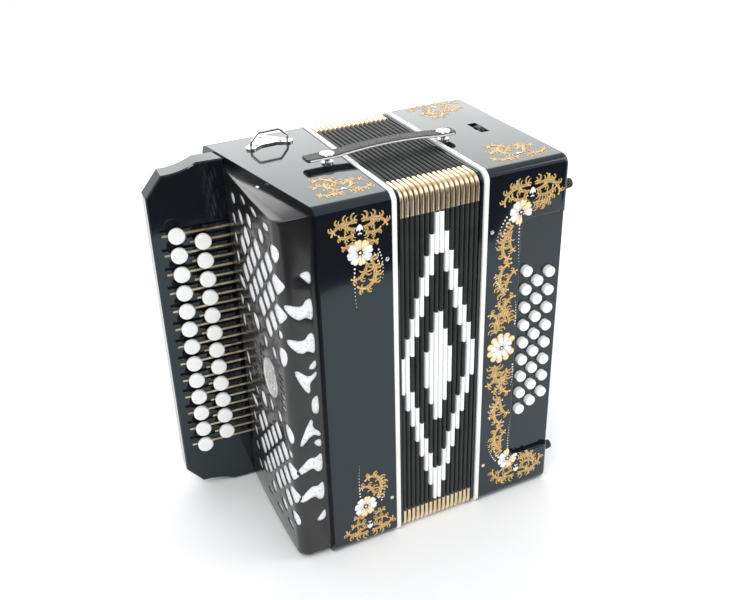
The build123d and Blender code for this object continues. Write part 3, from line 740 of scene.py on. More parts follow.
def tape_diamond():
    """White tape on the folds: a stepped diamond outline with a solid rhombus in its middle.

    The diamond has as many steps from top to bottom as there are folds, and its outline is two steps high.
    """
    high = TOP - EDGE_RADIUS - CORNER_DOWN - 2.5 * MM
    low = EDGE_RADIUS + CORNER_SHORT + 3.5 * MM
    step = (high - low) / FOLDS
    middle = FOLDS / 2
    points, faces = [], []
    for fold in range(FOLDS):
        ring = abs(fold - (FOLDS - 1) / 2) - 0.5
        spans = [(ring, ring + 2), (FOLDS - 2 - ring, FOLDS - ring)]
        if ring <= 2:
            spans.append((middle - 3 + ring, middle + 3 - ring))
        for first, last in spans:
            top, bottom = high - first * step, high - last * step

            def front_path(inset, top=top, bottom=bottom):
                y = FRONT + MM + inset
                return [(y, bottom), (y, (top + bottom) / 2), (y, top)]

            strip_over_fold(front_path, TAPE_LIFT, fold, points, faces)
    bellows_piece("bellows_tape_diamond", points, faces, TAPE, "white_tape")


# ---------------------------------------------------------------- treble grille
def rim_x(y):
    """The place along X of the grille's slanted rim."""
    return RIM_FRONT_X - RIM_SLOPE * (y - FRONT)


CORNER_TURN = GRILLE_CORNER * math.pi / 2
SIDE_START = GRILLE_FRONT + GRILLE_CORNER
SIDE_LENGTH = GRILLE_BACK - SIDE_START
STRIP_LENGTH = rim_x(GRILLE_FRONT) - (GRILLE_FACE + GRILLE_CORNER)


def side_x(y):
    """The side face's gentle bow, from the corner back to the taper."""
    share = (y - SIDE_START) / SIDE_LENGTH
    return GRILLE_FACE - 2.6 * MM * share * (1 - share) + GRILLE_TAPER * share**1.5


def wrap(along, z, depth):
    """A point of the cover: its distance along it, its height, and its depth below the outer face.

    Negative distances lie on the front strip, those up to CORNER_TURN on the corner, the rest on the side.
    """
    if along < 0:
        return Vector((GRILLE_FACE + GRILLE_CORNER - along, GRILLE_FRONT + depth, z))
    if along < CORNER_TURN:
        turn = along / GRILLE_CORNER
        radius = GRILLE_CORNER - depth
        x = GRILLE_FACE + GRILLE_CORNER - radius * math.sin(turn)
        return Vector((x, GRILLE_FRONT + GRILLE_CORNER - radius * math.cos(turn), z))
    y = SIDE_START + along - CORNER_TURN
    return Vector((side_x(y) + depth, y, z))


def at_side(y_mm):
    """Distance along the cover of a place on the side face."""
    return y_mm * MM - SIDE_START + CORNER_TURN


def oval(y, z, half_y, half_z, lean=0.0, bite=0.0):
    """A window outline on the side face, in millimetres; bite flattens its front flank."""
    count = 10
    cosine, sine = math.cos(math.radians(lean)), math.sin(math.radians(lean))
    points = []
    for step in range(count):
        turn = 2 * math.pi * step / count
        u = half_y * math.cos(turn)
        v = half_z * math.sin(turn)
        if u < 0:
            u *= 1 - 1.6 * bite
        points.append((at_side(y + u * cosine - v * sine), (z + u * sine + v * cosine) * MM))
    return smooth_loop(points, 2)


def tile(y, z, half_y, half_z, lean):
    """A rounded four-sided window whose top and bottom lean."""
    back_low, back_high = -half_z + lean, half_z + lean / 2
    shape = ((-half_y, -half_z), (half_y, back_low), (half_y, back_high), (-half_y, half_z - lean / 2))
    return smooth_loop([(at_side(y + u), (z + v) * MM) for u, v in shape], 3)


def lozenge(y, z, half):
    """A window of the diagonal lattice: a diamond with rounded corners."""
    corners = [Vector((-half, 0)), Vector((0, -half)), Vector((half, 0)), Vector((0, half))]
    points = []
    for index, corner in enumerate(corners):
        following = corners[(index + 1) % 4]
        for share in (0.16, 0.84):
            points.append(corner.lerp(following, share))
    return smooth_loop([(at_side(y + p.x), (z + p.y) * MM) for p in points], 2)


def side_windows():
    """The lattice of the side face with ovals round it, the same above and below the badge."""
    pitch = 13
    three, four = (-19, -45, -71), (-6, -32, -58, -84)
    lattice = ((-58,), three, four, three, four, three)
    # y, height from the badge, half sizes, lean and bite of each oval
    ovals = (
        (-31, 135, 8.6, 6.4, 10, 0.2),
        (-58, 134, 7.2, 6.4, -12, 0),
        (-85, 130, 8.4, 8.0, 14, 0.2),
        (-6, 129, 7.4, 6.0, 30, 0),
        (12, 139, 6.6, 5.0, -20, 0),
        (15, 119, 6.6, 5.4, 25, 0.2),
        (15, 101, 6.6, 5.6, 28, 0.2),
        (14, 84, 6.4, 6.0, 20, 0.2),
        (9, 62, 10.5, 5.4, 6, 0),
        (-26, 39, 11.5, 8.0, 22, 0.3),
        (16, 40, 6.4, 6.4, 26, 0.3),
        (-3, 43, 5.6, 4.2, -24, 0),
        (-46, 32, 5.0, 6.4, 12, 0),
        (-66, 32, 5.2, 6.0, -20, 0),
        (-85, 38, 7.6, 10.0, 12, 0.15),
        (-84, 59, 3.8, 4.6, 20, 0),
        (-18, 149, 7.0, 3.0, 10, 0),
        (-45, 149, 8.4, 3.0, 6, 0),
        (-71, 147, 7.6, 3.4, -10, 0),
        (17, 20, 5.6, 7.0, 10, 0),
    )
    centre = BADGE_Z / MM
    windows = []
    for side in (1, -1):
        for row, places in enumerate(lattice):
            for y in places:
                spread = 11.1 + 0.25 * math.sin(3.1 * row + y)
                windows.append(lozenge(y, centre + side * (52 + pitch * row), spread))
        for y, height, half_y, half_z, lean, bite in ovals:
            windows.append(oval(y, centre + side * height, half_y, half_z, side * lean, bite))
        windows += [oval(-30, centre + side * height, 2.6, 2.3) for height in (4, 12, 20)]
        windows += [tile(-79, centre + side * height, 5.2, 1.6, side) for height in (3.4, 9.4, 15.4)]
    return windows


def strip_windows():
    """The windows of the front strip: triangles, forked shapes and one half disc, mirrored about its middle.

    A shape's points are (distance from the strip's plain edge, height), in millimetres.
    """
    middle = 165.0
    edge = 4.2
    triangle = ((0, -7), (0, 7), (10.5, 5.5), (5, -1))
    small = ((0, -6), (0, 6), (8.5, -3.5))
    fork = ((0, -10), (0, 11), (5, 12), (9, 5), (22, 11), (25, 7), (12, -7), (6, -4))
    claw = ((0, 3), (0, 9), (7, 3), (17, 14), (20, 11), (9, -13), (6, -11), (7, -3))
    half_disc = ((0, -9.5), (0, 9.5), (4, 9), (6.5, 4.5), (6.5, -4.5), (4, -9))
    places = [
        (shape, side, side * height)
        for side in (1, -1)
        for shape, height in ((triangle, 118), (fork, 89), (fork, 58), (small, 40), (claw, 25))
    ]
    windows = []
    for shape, side, height in [*places, (half_disc, 1, 0)]:
        loop = [((edge + u) * MM - STRIP_LENGTH, (middle + height + side * v) * MM) for u, v in shape]
        windows.append(smooth_loop(loop, 3))
    return windows


def cover_outline():
    """The developed cover: cut back along its rear edge where the levers pass."""
    back = at_side(GRILLE_BACK / MM)
    notch = back - 9.2 * MM
    half_notch = 12 * LEVER_PITCH + 9 * MM
    key_low, key_high = MID_Z - half_notch, MID_Z + half_notch
    return [
        (-STRIP_LENGTH, COVER_LOW),
        (back, COVER_LOW),
        (back, key_low),
        (notch, key_low),
        (notch, key_high),
        (back, key_high),
        (back, COVER_HIGH),
        (-STRIP_LENGTH, COVER_HIGH),
    ]


def filled_sheet(loops, thickness, round_over):
    """A flat sheet with holes and rounded edges, as a mesh: local X along, Y up, Z through the sheet."""
    curve = bpy.data.curves.new("sheet", "CURVE")
    curve.dimensions = "2D"
    curve.fill_mode = "BOTH"
    curve.bevel_depth = round_over
    curve.bevel_resolution = 2
    curve.offset = -round_over
    curve.extrude = thickness / 2 - round_over
    for loop in loops:
        spline = curve.splines.new("POLY")
        spline.points.add(len(loop) - 1)
        for point, (u, v) in zip(spline.points, loop):
            point.co = (u, v, 0, 1)
        spline.use_cyclic_u = True
    holder = bpy.data.objects.new("sheet", curve)
    mesh = bpy.data.meshes.new_from_object(holder)
    bpy.data.objects.remove(holder)
    bpy.data.curves.remove(curve)
    return mesh


def cut_along(bm, places):
    """Cuts a flat sheet across at each place along its local X."""
    for place_x in places:
        geometry = bm.verts[:] + bm.edges[:] + bm.faces[:]
        bmesh.ops.bisect_plane(bm, geom=geometry, plane_co=(place_x, 0, 0), plane_no=(1, 0, 0), dist=1e-7)


def grille_cover():
    """The pierced cover, wrapped round its front corner."""
    loops = [cover_outline(), *side_windows(), *strip_windows()]
    mesh = filled_sheet(loops, COVER, 0.3 * MM)
    bm = bmesh.new()
    bm.from_mesh(mesh)
    bmesh.ops.remove_doubles(bm, verts=bm.verts, dist=WELD)
    corner_steps, side_steps = 10, 12
    cuts = [CORNER_TURN * step / corner_steps for step in range(corner_steps + 1)]
    cuts += [CORNER_TURN + SIDE_LENGTH * step / side_steps for step in range(1, side_steps)]
    cut_along(bm, cuts)
    for vertex in bm.verts:
        vertex.co = wrap(vertex.co.x, vertex.co.y, COVER / 2 - vertex.co.z)
    bm.to_mesh(mesh)
    bm.free()
    finish_piece("grille_cover", mesh, GRILLE, "grille_black", TREBLE, ("treble_grille",))


def profile_line():
    """The cover's cross-section from the front rim round to the rear rim."""
    corner_steps, side_steps = 8, 16
    places = [-STRIP_LENGTH]
    places += [CORNER_TURN * step / corner_steps for step in range(corner_steps + 1)]
    places += [CORNER_TURN + SIDE_LENGTH * step / side_steps for step in range(1, side_steps + 1)]
    line = [wrap(along, 0, 0) for along in places]
    line.append(Vector((rim_x(line[-1].y) + 0.4 * MM, line[-1].y, 0)))
    return line


def grille_caps():
    """The top and bottom plates of the cover, with rounded rims."""
    line = profile_line()
    centre = sum(line, Vector()) / len(line)
    # How far each ring is drawn in towards the centre, and how deep it lies
    levels = ((0.8 * MM, 0.0), (0.25 * MM, 0.25 * MM), (0.0, 0.8 * MM), (0.0, COVER))
    for label, face_z, inward in (("top", COVER_HIGH, -1), ("bottom", COVER_LOW, 1)):
        points = []
        for shrink, drop in levels:
            for point in line:
                drawn = point + (centre - point).normalized() * shrink
                points.append((drawn.x, drawn.y, face_z + inward * drop))
        faces = tube_faces(len(levels), len(line))
        new_piece(f"grille_cap_{label}", points, faces, GRILLE, "grille_black", TREBLE, ("treble_grille",))


def grille_lining():
    """Crinkled silver cloth just behind the cover, with a face on each side."""
    random.seed(11)
    columns, rows = 60, 130
    low, high = 9 * MM, TOP - 9 * MM
    back = at_side(GRILLE_BACK / MM) - 10 * MM
    start = -STRIP_LENGTH + 1.5 * MM
    cloth = 0.5 * MM
    points = []
    for layer in (0.0, cloth):
        for r in range(rows + 1):
            for c in range(columns + 1):
                along = start + (back - start) * c / columns
                ripple = 0.12 * MM * math.sin(546 * r / rows + 1.7 * c) * math.sin(c * 0.9 + r * 0.23)
                depth = COVER + 0.2 * MM + ripple + random.uniform(0, 0.18) * MM + layer
                points.append(wrap(along, low + (high - low) * r / rows, depth))
    faces = grid_faces(rows + 1, columns + 1)
    faces += moved(faces, (rows + 1) * (columns + 1))
    new_piece("grille_lining", points, faces, FOIL, "silver_metal", TREBLE, ("treble_grille",))


def grille_bosses():
    """Four domed discs moulded on the cover, behind the badge."""
    places = ((-17, 10, 7), (-17, -10, 7), (2, 24, 6.4), (2, -24, 6.4))
    dome = ((1, 0.6), (1, 0.1), (0.86, -0.55), (0.55, -0.95), (0.2, -1.1), (0, -1.12))
    for number, (y, height, radius) in enumerate(places, 1):
        centre = wrap(at_side(y), BADGE_Z + height * MM, 0)
        profile = [(radius * share, rise) for share, rise in dome]
        name = f"grille_boss_{number}"
        lathe(name, centre, (1, 0, 0), profile, GRILLE, "grille_black", TREBLE, 28, ("treble_grille",))


def badge():
    """An oval badge with a raised rim."""
    centre = wrap(at_side(BADGE_Y / MM), BADGE_Z, 0)
    steps = 48
    # Share of the badge's size and height in millimetres, from its edge to its middle
    rim = ((1, 1), (1, -0.4), (0.97, -0.9), (0.9, -0.9))
    field = ((0.86, -0.5), (0.6, -0.55), (0.3, -0.6), (0, -0.6))
    levels = rim + field
    points = []
    for share, height in levels:
        for step in range(steps):
            turn = 2 * math.pi * step / steps
            y = BADGE_SIZE[0] * share * math.cos(turn)
            z = BADGE_SIZE[1] * share * math.sin(turn)
            points.append((centre.x + height * MM, centre.y + y, centre.z + z))
    faces = grid_faces(len(levels), steps, closed_columns=True)
    new_piece("grille_badge", points, faces, BADGE, "silver_metal", TREBLE, ("treble_grille",))
    badge_relief(centre)


def badge_relief(centre):
    """Plain wavy bars across the badge."""
    row_pitch = 4.2 * MM
    count = 25
    section = ((-0.7, 0.0), (0.0, -0.45), (0.7, 0.0), (0.0, 0.3))
    points, faces = [], []
    for row in range(-3, 4):
        chord = math.sqrt(max(0.05, 1 - (row * row_pitch / BADGE_SIZE[1] / 0.86) ** 2))
        half = BADGE_SIZE[0] * 0.72 * chord
        faces += tube_faces(count, len(section), len(points))
        for k in range(count):
            share = k / (count - 1)
            y = centre.y - half + 2 * half * share
            z = centre.z + row * row_pitch + 0.9 * MM * math.sin(k * 0.8 + row)
            taper = 0.25 + 0.75 * math.sin(math.pi * share)
            for dz, dx in section:
                points.append((centre.x + (dx - 0.55) * MM, y, z + dz * MM * taper))
    new_piece("grille_badge_relief", points, faces, BADGE, "silver_metal", TREBLE, ("treble_grille",))


def grille_screws():
    """Dome-headed screws in the cover's top and bottom plates."""
    x, y = -97 * MM, FRONT + 77 * MM
    profile = ((2.0, -0.2), (2.0, 0.25), (1.7, 0.7), (1.0, 0.95), (0.0, 1.0))
    for label, z, up in (("top", COVER_HIGH, 1), ("bottom", COVER_LOW, -1)):
        name = f"grille_screw_{label}"
        lathe(name, (x, y, z), (0, 0, up), profile, NICKEL, "silver_metal", TREBLE, 24, ("treble_grille",))


# ---------------------------------------------------------------- keys and buttons
def board_height(point):
    """How far a point stands in front of the levers' middle line."""
    tilt = math.atan(LEVER_TILT)
    return (point.x - AXLE_X) * -math.sin(tilt) + (point.y - AXLE_Y) * -math.cos(tilt)


def is_button(corners):
    """In front of the lever's arm, outside the board's edge."""
    outside = all(c.x < AXLE_X - 20 * MM for c in corners)
    heights = [board_height(c) for c in corners]
    return outside and min(heights) > 0.9 * MM and max(heights) > 1.5 * MM


def is_pallet(corners):
    """Below the arm: inwards of the lever's inner face."""
    length = math.hypot(1, RIM_SLOPE)
    outward = [(-(c.x - AXLE_X) - RIM_SLOPE * (c.y - AXLE_Y)) / length for c in corners]
    before_axle = all(c.y < AXLE_Y - 10 * MM for c in corners)
    return before_axle and max(outward) < -0.9 * MM and min(outward) < -1.5 * MM


def treble_keys():
    for number in range(1, 26):
        key = f"treble_key_{number:02d}"
        split_node(
            key,
            key,
            [
                (f"treble_button_{number:02d}", PEARL, "white_button", is_button),
                (f"treble_pallet_{number:02d}", BEECH, "pallet_wood", is_pallet),
                (f"treble_lever_{number:02d}", WIRE, "lever_metal", anything),
            ],
        )


def repaint(name, material):
    """Gives a CAD node that keeps its shape its finish."""
    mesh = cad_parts[name].data
    mesh.materials.clear()
    mesh.materials.append(material)


def kept_nodes():
    for number in range(1, 26):
        repaint(f"bass_button_{number:02d}", PEARL)
    repaint("strap_brackets", NICKEL)
    repaint("strap_wheel", BLACK_STEEL)
    repaint("air_button", PLASTIC)


def near_axle(corners):
    """A face of the axle that the levers turn on."""
    return all((c.x - AXLE_X) ** 2 + (c.y - AXLE_Y) ** 2 < (1.6 * MM) ** 2 for c in corners)


def is_tooth(corners):
    """A face of the comb that keeps the levers apart."""
    return all(c.x > AXLE_X - 8 * MM and c.y < AXLE_Y + 5 * MM for c in corners)


def fingerboard():
    split_node(
        "fingerboard",
        TREBLE,
        [
            ("key_axle", NICKEL, "silver_metal", near_axle),
            ("fingerboard_comb", BEECH, "pallet_wood", is_tooth),
            ("fingerboard_board", LACQUER, "black_lacquer", anything),
        ],
    )


# ---------------------------------------------------------------- straps
def strap_band(name, line, width, thickness, side, material, body, replaces):
    """A leather strap along a line of points: a crowned cross-section with rounded edges.

    side is the strap's width direction; the outer face lies on the left of the line's direction.
    """
    side = Vector(side)
    half = width / 2
    # Place across the strap and share of its thickness, on one side of its middle
    flank = ((half * 0.5, 1.0), (half - 0.8 * MM, 0.97), (half, 0.7), (half, 0.25), (half - 0.6 * MM, 0.0))
    section = [(0, 1.0), *flank, *((-u, v) for u, v in reversed(flank))]
    points = []
    for index, point in enumerate(line):
        before = line[max(index - 1, 0)]
        after = line[min(index + 1, len(line) - 1)]
        up = (after - before).normalized().cross(side)
        near_end = min(index, len(line) - 1 - index)
        narrow = (0.72, 0.9, 1.0)[min(near_end, 2)]
        points += [point + side * u * narrow + up * v * thickness for u, v in section]
    faces = tube_faces(len(line), len(section))
    new_piece(name, points, faces, material, "black_leather", body, replaces)


def stitches(name, line, offsets, side, lift, spacing, body, replaces):
    """Short thread stitches along a line, at each sideways offset."""
    side = Vector(side)
    points, faces = [], []
    length = 1.9 * MM
    radius = 0.32 * MM
    corners = 6
    # Share of the length and of the radius, from one pointed end to the other
    rings = ((-0.5, 0.3), (-0.3, 1.0), (0.3, 1.0), (0.5, 0.3))
    total = 0.0
    next_at = spacing
    for first, second in zip(line, line[1:]):
        span = (second - first).length
        direction = (second - first).normalized()
        up = direction.cross(side)
        while next_at < total + span:
            centre = first + direction * (next_at - total) + up * lift
            for offset in offsets:
                faces += tube_faces(len(rings), corners, len(points))
                for share, size in rings:
                    ring_centre = centre + side * offset + direction * share * length
                    for corner in range(corners):
                        turn = 2 * math.pi * corner / corners
                        outward = side * math.cos(turn) + up * math.sin(turn)
                        points.append(ring_centre + outward * radius * size)
            next_at += spacing
        total += span
    new_piece(name, points, faces, THREAD, "black_leather", body, replaces)


def arc_line(ends, rise, upward, steps=28):
    """Points from one end to the other, bowed by the rise."""
    first, last = Vector(ends[0]), Vector(ends[1])
    line = []
    for step in range(steps + 1):
        share = step / steps
        line.append(first.lerp(last, share) + Vector(upward) * rise * 4 * share * (1 - share))
    return line


def bellows_strap():
    """The strap that holds the bellows shut, with pale cut edges, stitching, a snap and a screwed cap."""
    low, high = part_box("bellows_strap")
    y = (low.y + high.y) / 2
    width = 15 * MM
    under = 345.2 * MM
    thick = 2.6 * MM
    left, right = -33.5 * MM, 75.5 * MM
    line = [Vector((low.x + s * MM, y, under)) for s in (0.3, 1.2, 2.6, 8)]
    line += arc_line(((left + 6 * MM, y, under), (right - 6 * MM, y, under)), 3 * MM, (0, 0, 1))
    line += [Vector((high.x - s * MM, y, under)) for s in (4, 2.6, 1.2, 0.3)]
    side = (0, 1, 0)
    body = "bellows_strap"
    strap_band("bellows_strap_leather", line, width - 0.8 * MM, thick, side, LEATHER, body, (body,))
    for label, sign in (("front", -1), ("back", 1)):
        name = f"bellows_strap_edge_{label}"
        edge = [p + Vector((0, sign * (width / 2 - 0.5 * MM), 0.45 * MM)) for p in line[2:-2]]
        strap_band(name, edge, 1.1 * MM, 1.5 * MM, side, LEATHER_EDGE, body, (body,))
    seams = (-5.3 * MM, 5.3 * MM)
    stitches("bellows_strap_stitches", line[3:-3], seams, side, thick, 3.4 * MM, body, (body,))
    cap = ((6.4, -0.2), (6.5, 0.3), (6.1, 0.9), (4.6, 1.35), (2.4, 1.55), (0.0, 1.6))
    for label, x in (("snap", left), ("screw", right)):
        name = f"bellows_strap_{label}_cap"
        lathe(name, (x, y, under + thick), (0, 0, 1), cap, NICKEL, "silver_metal", body, 40, (body,))
    slot_groove((right, y, under + thick + 1.5 * MM), body)


def slot_groove(centre, body):
    """The driver slot of the right cap: a dark bar with rounded ends, all but sunk in the cap."""
    cx, cy, cz = centre
    half_length, half_width = 3.4 * MM, 0.5 * MM
    turned = math.radians(35)
    count = 16
    points = []
    for height in (-0.9 * MM, 0.12 * MM):
        for step in range(count):
            turn = 2 * math.pi * step / count
            end = math.copysign(half_length - half_width, math.cos(turn))
            u, v = end + math.cos(turn) * half_width, math.sin(turn) * half_width
            x = cx + u * math.cos(turned) - v * math.sin(turned)
            y = cy + u * math.sin(turned) + v * math.cos(turned)
            points.append((x, y, cz + height))
    faces = tube_faces(2, count)
    new_piece("bellows_strap_screw_slot", points, faces, BLACK_STEEL, "black_steel", body, ("bellows_strap",))


def hand_strap():
    """The left-hand strap: a wide leather band bowed over the end cover, stitched, under two clamp plates."""
    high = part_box("hand_strap")[1]
    y = MID_Y
    face = 148 * MM
    width = 62 * MM
    thick = 3.5 * MM
    reach = high.x - face - thick
    z_low, z_high = 14 * MM, TOP - 14 * MM
    line = [Vector((face, y, z_low + s * MM)) for s in (0, 1.2, 2.6)]
    line += arc_line(((face, y, z_low + 15 * MM), (face, y, z_high - 15 * MM)), reach, (1, 0, 0), 40)
    line += [Vector((face, y, z_high - s * MM)) for s in (2.6, 1.2, 0)]
    split_node(
        "hand_strap",
        BASS,
        [
            ("hand_strap_clamps", NICKEL, "silver_metal", clamp_faces(face + thick)),
            ("hand_strap_leather", LEATHER, "black_leather", anything),
        ],
    )
    side = (0, -1, 0)
    replaced = ("hand_strap",)
    for label, sign in (("front", -1), ("back", 1)):
        name = f"hand_strap_edge_{label}"
        edge = [p + Vector((thick * 0.35, sign * (width / 2 - 0.35 * MM), 0)) for p in line[2:-2]]
        strap_band(name, edge, 0.9 * MM, 1.2 * MM, side, LEATHER_EDGE, BASS, replaced)
    seams = (-26 * MM, 26 * MM)
    stitches("hand_strap_stitches", line[5:-5], seams, side, thick, 4.5 * MM, BASS, replaced)


def clamp_faces(strap_face):
    """A test for the clamp plates and their screws, which stand on the strap's outer face near its ends."""
    reach = 27 * MM

    def test(corners):
        near_end = all(c.z < reach for c in corners) or all(c.z > TOP - reach for c in corners)
        above = all(c.x > strap_face - EPS for c in corners)
        return near_end and above and any(c.x > strap_face + 0.3 * MM for c in corners)

    return test


# ---------------------------------------------------------------- painted ornaments
class Painting:
    """Raised brush strokes on one flat face, gathered by colour. Its own coordinates are in millimetres."""

    def __init__(self, label, body, origin, right, up):
        self.label = label
        self.body = body
        self.origin = Vector(origin)
        self.right = Vector(right)
        self.up = Vector(up)
        self.out = self.right.cross(self.up)
        self.layers = {}
        self.count = 0
        self.mirror = None
        self.keep_out = lambda u, v: False

    def turned(self, v):
        """The height that v stands for. While mirror is set, v counts downwards from it."""
        return v if self.mirror is None else self.mirror - v

    def at(self, u, v, height):
        """A point over the face."""
        return self.origin + (self.right * u + self.up * self.turned(v) + self.out * height) * MM

    def layer(self, colour):
        return self.layers.setdefault(colour, ([], [], []))

    def stroke(self, colour, line, widths, base=0.0, rise=0.14):
        """A brush stroke along a line, highest and lightest along its middle.

        A stroke that would touch the keep-out area is left out whole.
        """
        if any(self.keep_out(p.x, self.turned(p.y)) for p in line):
            return
        # Place across the stroke, height and tone
        section = ((-1.0, 0.0, 0.0), (-0.55, 0.8, 0.55), (0.1, 1.0, 0.9), (0.7, 0.7, 0.45), (1.0, 0.0, 0.1))
        points, faces, tones = self.layer(colour)
        faces += tube_faces(len(line), len(section), len(points))
        # Strokes that cross lie at slightly different heights
        self.count += 1
        base += SKIN + 0.004 * (self.count % 9)
        for index, point in enumerate(line):
            before = line[max(index - 1, 0)]
            after = line[min(index + 1, len(line) - 1)]
            along = (after - before).normalized()
            normal = Vector((-along.y, along.x))
            for across, height, tone in section:
                spot = point + normal * across * widths[index]
                points.append(self.at(spot.x, spot.y, base + rise * height))
                tones.append(tone)

    def dot(self, colour, u, v, radius, base=0.0):
        """A small domed drop of paint."""
        if self.keep_out(u, self.turned(v)):
            return
        count = 10
        # Share of the radius, height and tone of each ring
        rings = ((1.0, 0.0, 0.2), (0.75, 0.12, 0.7), (0.3, 0.18, 1.0))
        points, faces, tones = self.layer(colour)
        faces += tube_faces(len(rings), count, len(points))
        for share, height, tone in rings:
            for step in range(count):
                turn = 2 * math.pi * step / count
                x, y = u + radius * share * math.cos(turn), v + radius * share * math.sin(turn)
                points.append(self.at(x, y, base + SKIN + height))
                tones.append(tone)

    def finish(self):
        """Makes one piece of each colour's strokes."""
        for colour, (points, faces, tones) in self.layers.items():
            mesh = bpy.data.meshes.new(f"{self.label}_{colour}")
            mesh.from_pydata([tuple(p) for p in points], [], faces)
            attribute = mesh.attributes.new("tone", "FLOAT", "POINT")
            attribute.data.foreach_set("value", tones)
            settle(mesh)
            mesh.materials.append(PAINTS[colour])
            piece = put(f"{self.label}_{colour}", mesh)
            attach(piece, self.body)


def heading_step(degrees):
    """A unit step at a heading in the painting's own plane."""
    return Vector((math.cos(math.radians(degrees)), math.sin(math.radians(degrees))))


def curl(start, heading, length, bend, tighten, steps):
    """A line that leaves start at a heading and curls ever tighter; bend is in degrees a millimetre."""
    line = [Vector(start)]
    angle = math.radians(heading)
    step = length / steps
    for index in range(steps):
        angle += math.radians(bend) * step * (1 + tighten * ((index + 0.5) / steps) ** 2)
        line.append(line[-1] + step * Vector((math.cos(angle), math.sin(angle))))
    return line


def comma(painting, start, heading, length, bend, width, tighten=1.0, steps=12):
    """A gold stroke that starts as a point, swells along its curve and closes in a round head."""
    line = curl(start, heading, length, bend, tighten, steps)
    shares = [min(1.0, 0.08 + 0.86 * i / steps) for i in range(steps + 1)]
    painting.stroke("gold", line, [width * (0.12 + 0.88 * math.sin(math.pi * s) ** 0.9) for s in shares])
    return line


def acanthus(painting, start, heading, length, bend, width, tighten):
    """A scroll of acanthus: a swelling stem with a curled head, and leaves that hug it and curl away."""
    steps = 20
    line = comma(painting, start, heading, length, bend, width * 1.6, tighten, steps)
    painting.dot("gold", line[-1].x, line[-1].y, width * 0.85, base=0.04)
    painting.stroke("dark", line[2:-4], [0.2] * (steps - 5), base=0.17, rise=0.05)
    outer = -1 if bend > 0 else 1
    count = max(3, round(length / 6.2))
    size = 10.4 * min(1.0, length / 24) ** 0.6
    for number in range(count):
        share = (number + 0.3) / count
        index = min(int(steps * share), steps - 2)
        root = line[index]
        along = line[index + 1] - root
        tangent = math.degrees(math.atan2(along.y, along.x))
        reach = size * (1.05 - 0.45 * share)
        outward = outer / reach
        leaf = comma(painting, root, tangent + outer * 8, reach, 86 * outward, width * 0.95, 2.2, 10)
        painting.dot("gold", leaf[-1].x, leaf[-1].y, width * 0.5, base=0.04)
        painting.stroke("dark", leaf[1:-2], [0.15] * (len(leaf) - 3), base=0.15, rise=0.05)
        comma(painting, root, tangent + outer * 40, reach * 0.66, 115 * outward, width * 0.55, 1.8, 8)
        if number % 2:
            comma(painting, root, tangent - outer * 12, reach * 0.75, -105 * outward, width * 0.65, 1.8, 8)


def flower(painting, u, v, radius, turned):
    """Eight notched petals, white and cream by turns, with fine dark lines and a beaded eye."""
    centre = Vector((u, v))
    shares = (0.16, 0.36, 0.56, 0.76, 0.90, 0.98, 1.04)
    widths = [radius * w for w in (0.05, 0.12, 0.18, 0.22, 0.21, 0.15, 0.05)]
    for petal in range(8):
        heading = turned + petal * 45
        colour = "cream" if petal in (1, 2, 6) else "white"
        for half in (-8, 8):
            line = [centre + heading_step(heading + half) * radius * s for s in shares]
            painting.stroke(colour, line, widths, base=0.05, rise=0.18)
        for lean, reach in ((-11, 0.5), (0, 0.7), (11, 0.5)):
            vein = [centre + heading_step(heading + lean) * radius * s for s in (0.2, 0.35, reach)]
            painting.stroke("dark", vein, [0.22, 0.18, 0.05], 0.2, 0.06)
    painting.dot("dark", u, v, radius * 0.27, base=0.14)
    painting.dot("cream", u, v, radius * 0.12, base=0.24)
    for bead in range(8):
        spot = centre + heading_step(bead * 45) * radius * 0.3
        painting.dot("white", spot.x, spot.y, radius * 0.05, base=0.24)


def rosette(painting, u, v, radius):
    """The large double flower in the middle of the garland."""
    rings = ((11, 1.0, "cream"), (9, 0.72, "white"), (7, 0.44, "white"))
    for ring, (count, size, colour) in enumerate(rings):
        lift = 0.09 * ring
        width = 2.4 * radius * size / count
        widths = [width * w for w in (0.4, 0.8, 1.1, 0.95, 0.4)]
        for petal in range(count):
            direction = heading_step(360 * petal / count + ring * 17)
            line = [Vector((u, v)) + direction * radius * size * s for s in (0.3, 0.55, 0.78, 0.92, 1.0)]
            painting.stroke(colour, line, widths, base=0.05 + lift, rise=0.16)
            painting.stroke("dark", line[:4], [0.22, 0.18, 0.12, 0.05], base=0.16 + lift, rise=0.06)
    painting.dot("dark", u, v, radius * 0.14, base=0.32)
    painting.dot("white", u, v, radius * 0.08, base=0.4)


def bud(painting, u, v, size):
    """A small white tulip bud that hangs head down, with three drops under it."""
    start = Vector((u, v + size * 0.5))
    widths = [size * w for w in (0.08, 0.2, 0.24, 0.16, 0.04)]
    for lean in (-28, 0, 28):
        line = [start + heading_step(lean - 90) * size * s for s in (0.0, 0.3, 0.6, 0.85, 1.05)]
        painting.stroke("white", line, widths, base=0.1, rise=0.14)
    for across, drop in ((-0.2, 0.9), (0, 0.8), (0.2, 0.9)):
        painting.dot("white", u + across * size, v - drop * size, size * 0.13, base=0.1)


def pearls(painting, start, heading, length, bend, count, first_size, last_size):
    """A curved row of white dots that grow smaller."""
    line = curl(start, heading, length, bend, 0.0, count - 1)
    for index, point in enumerate(line):
        share = index / (count - 1)
        painting.dot("white", point.x, point.y, first_size + (last_size - first_size) * share)


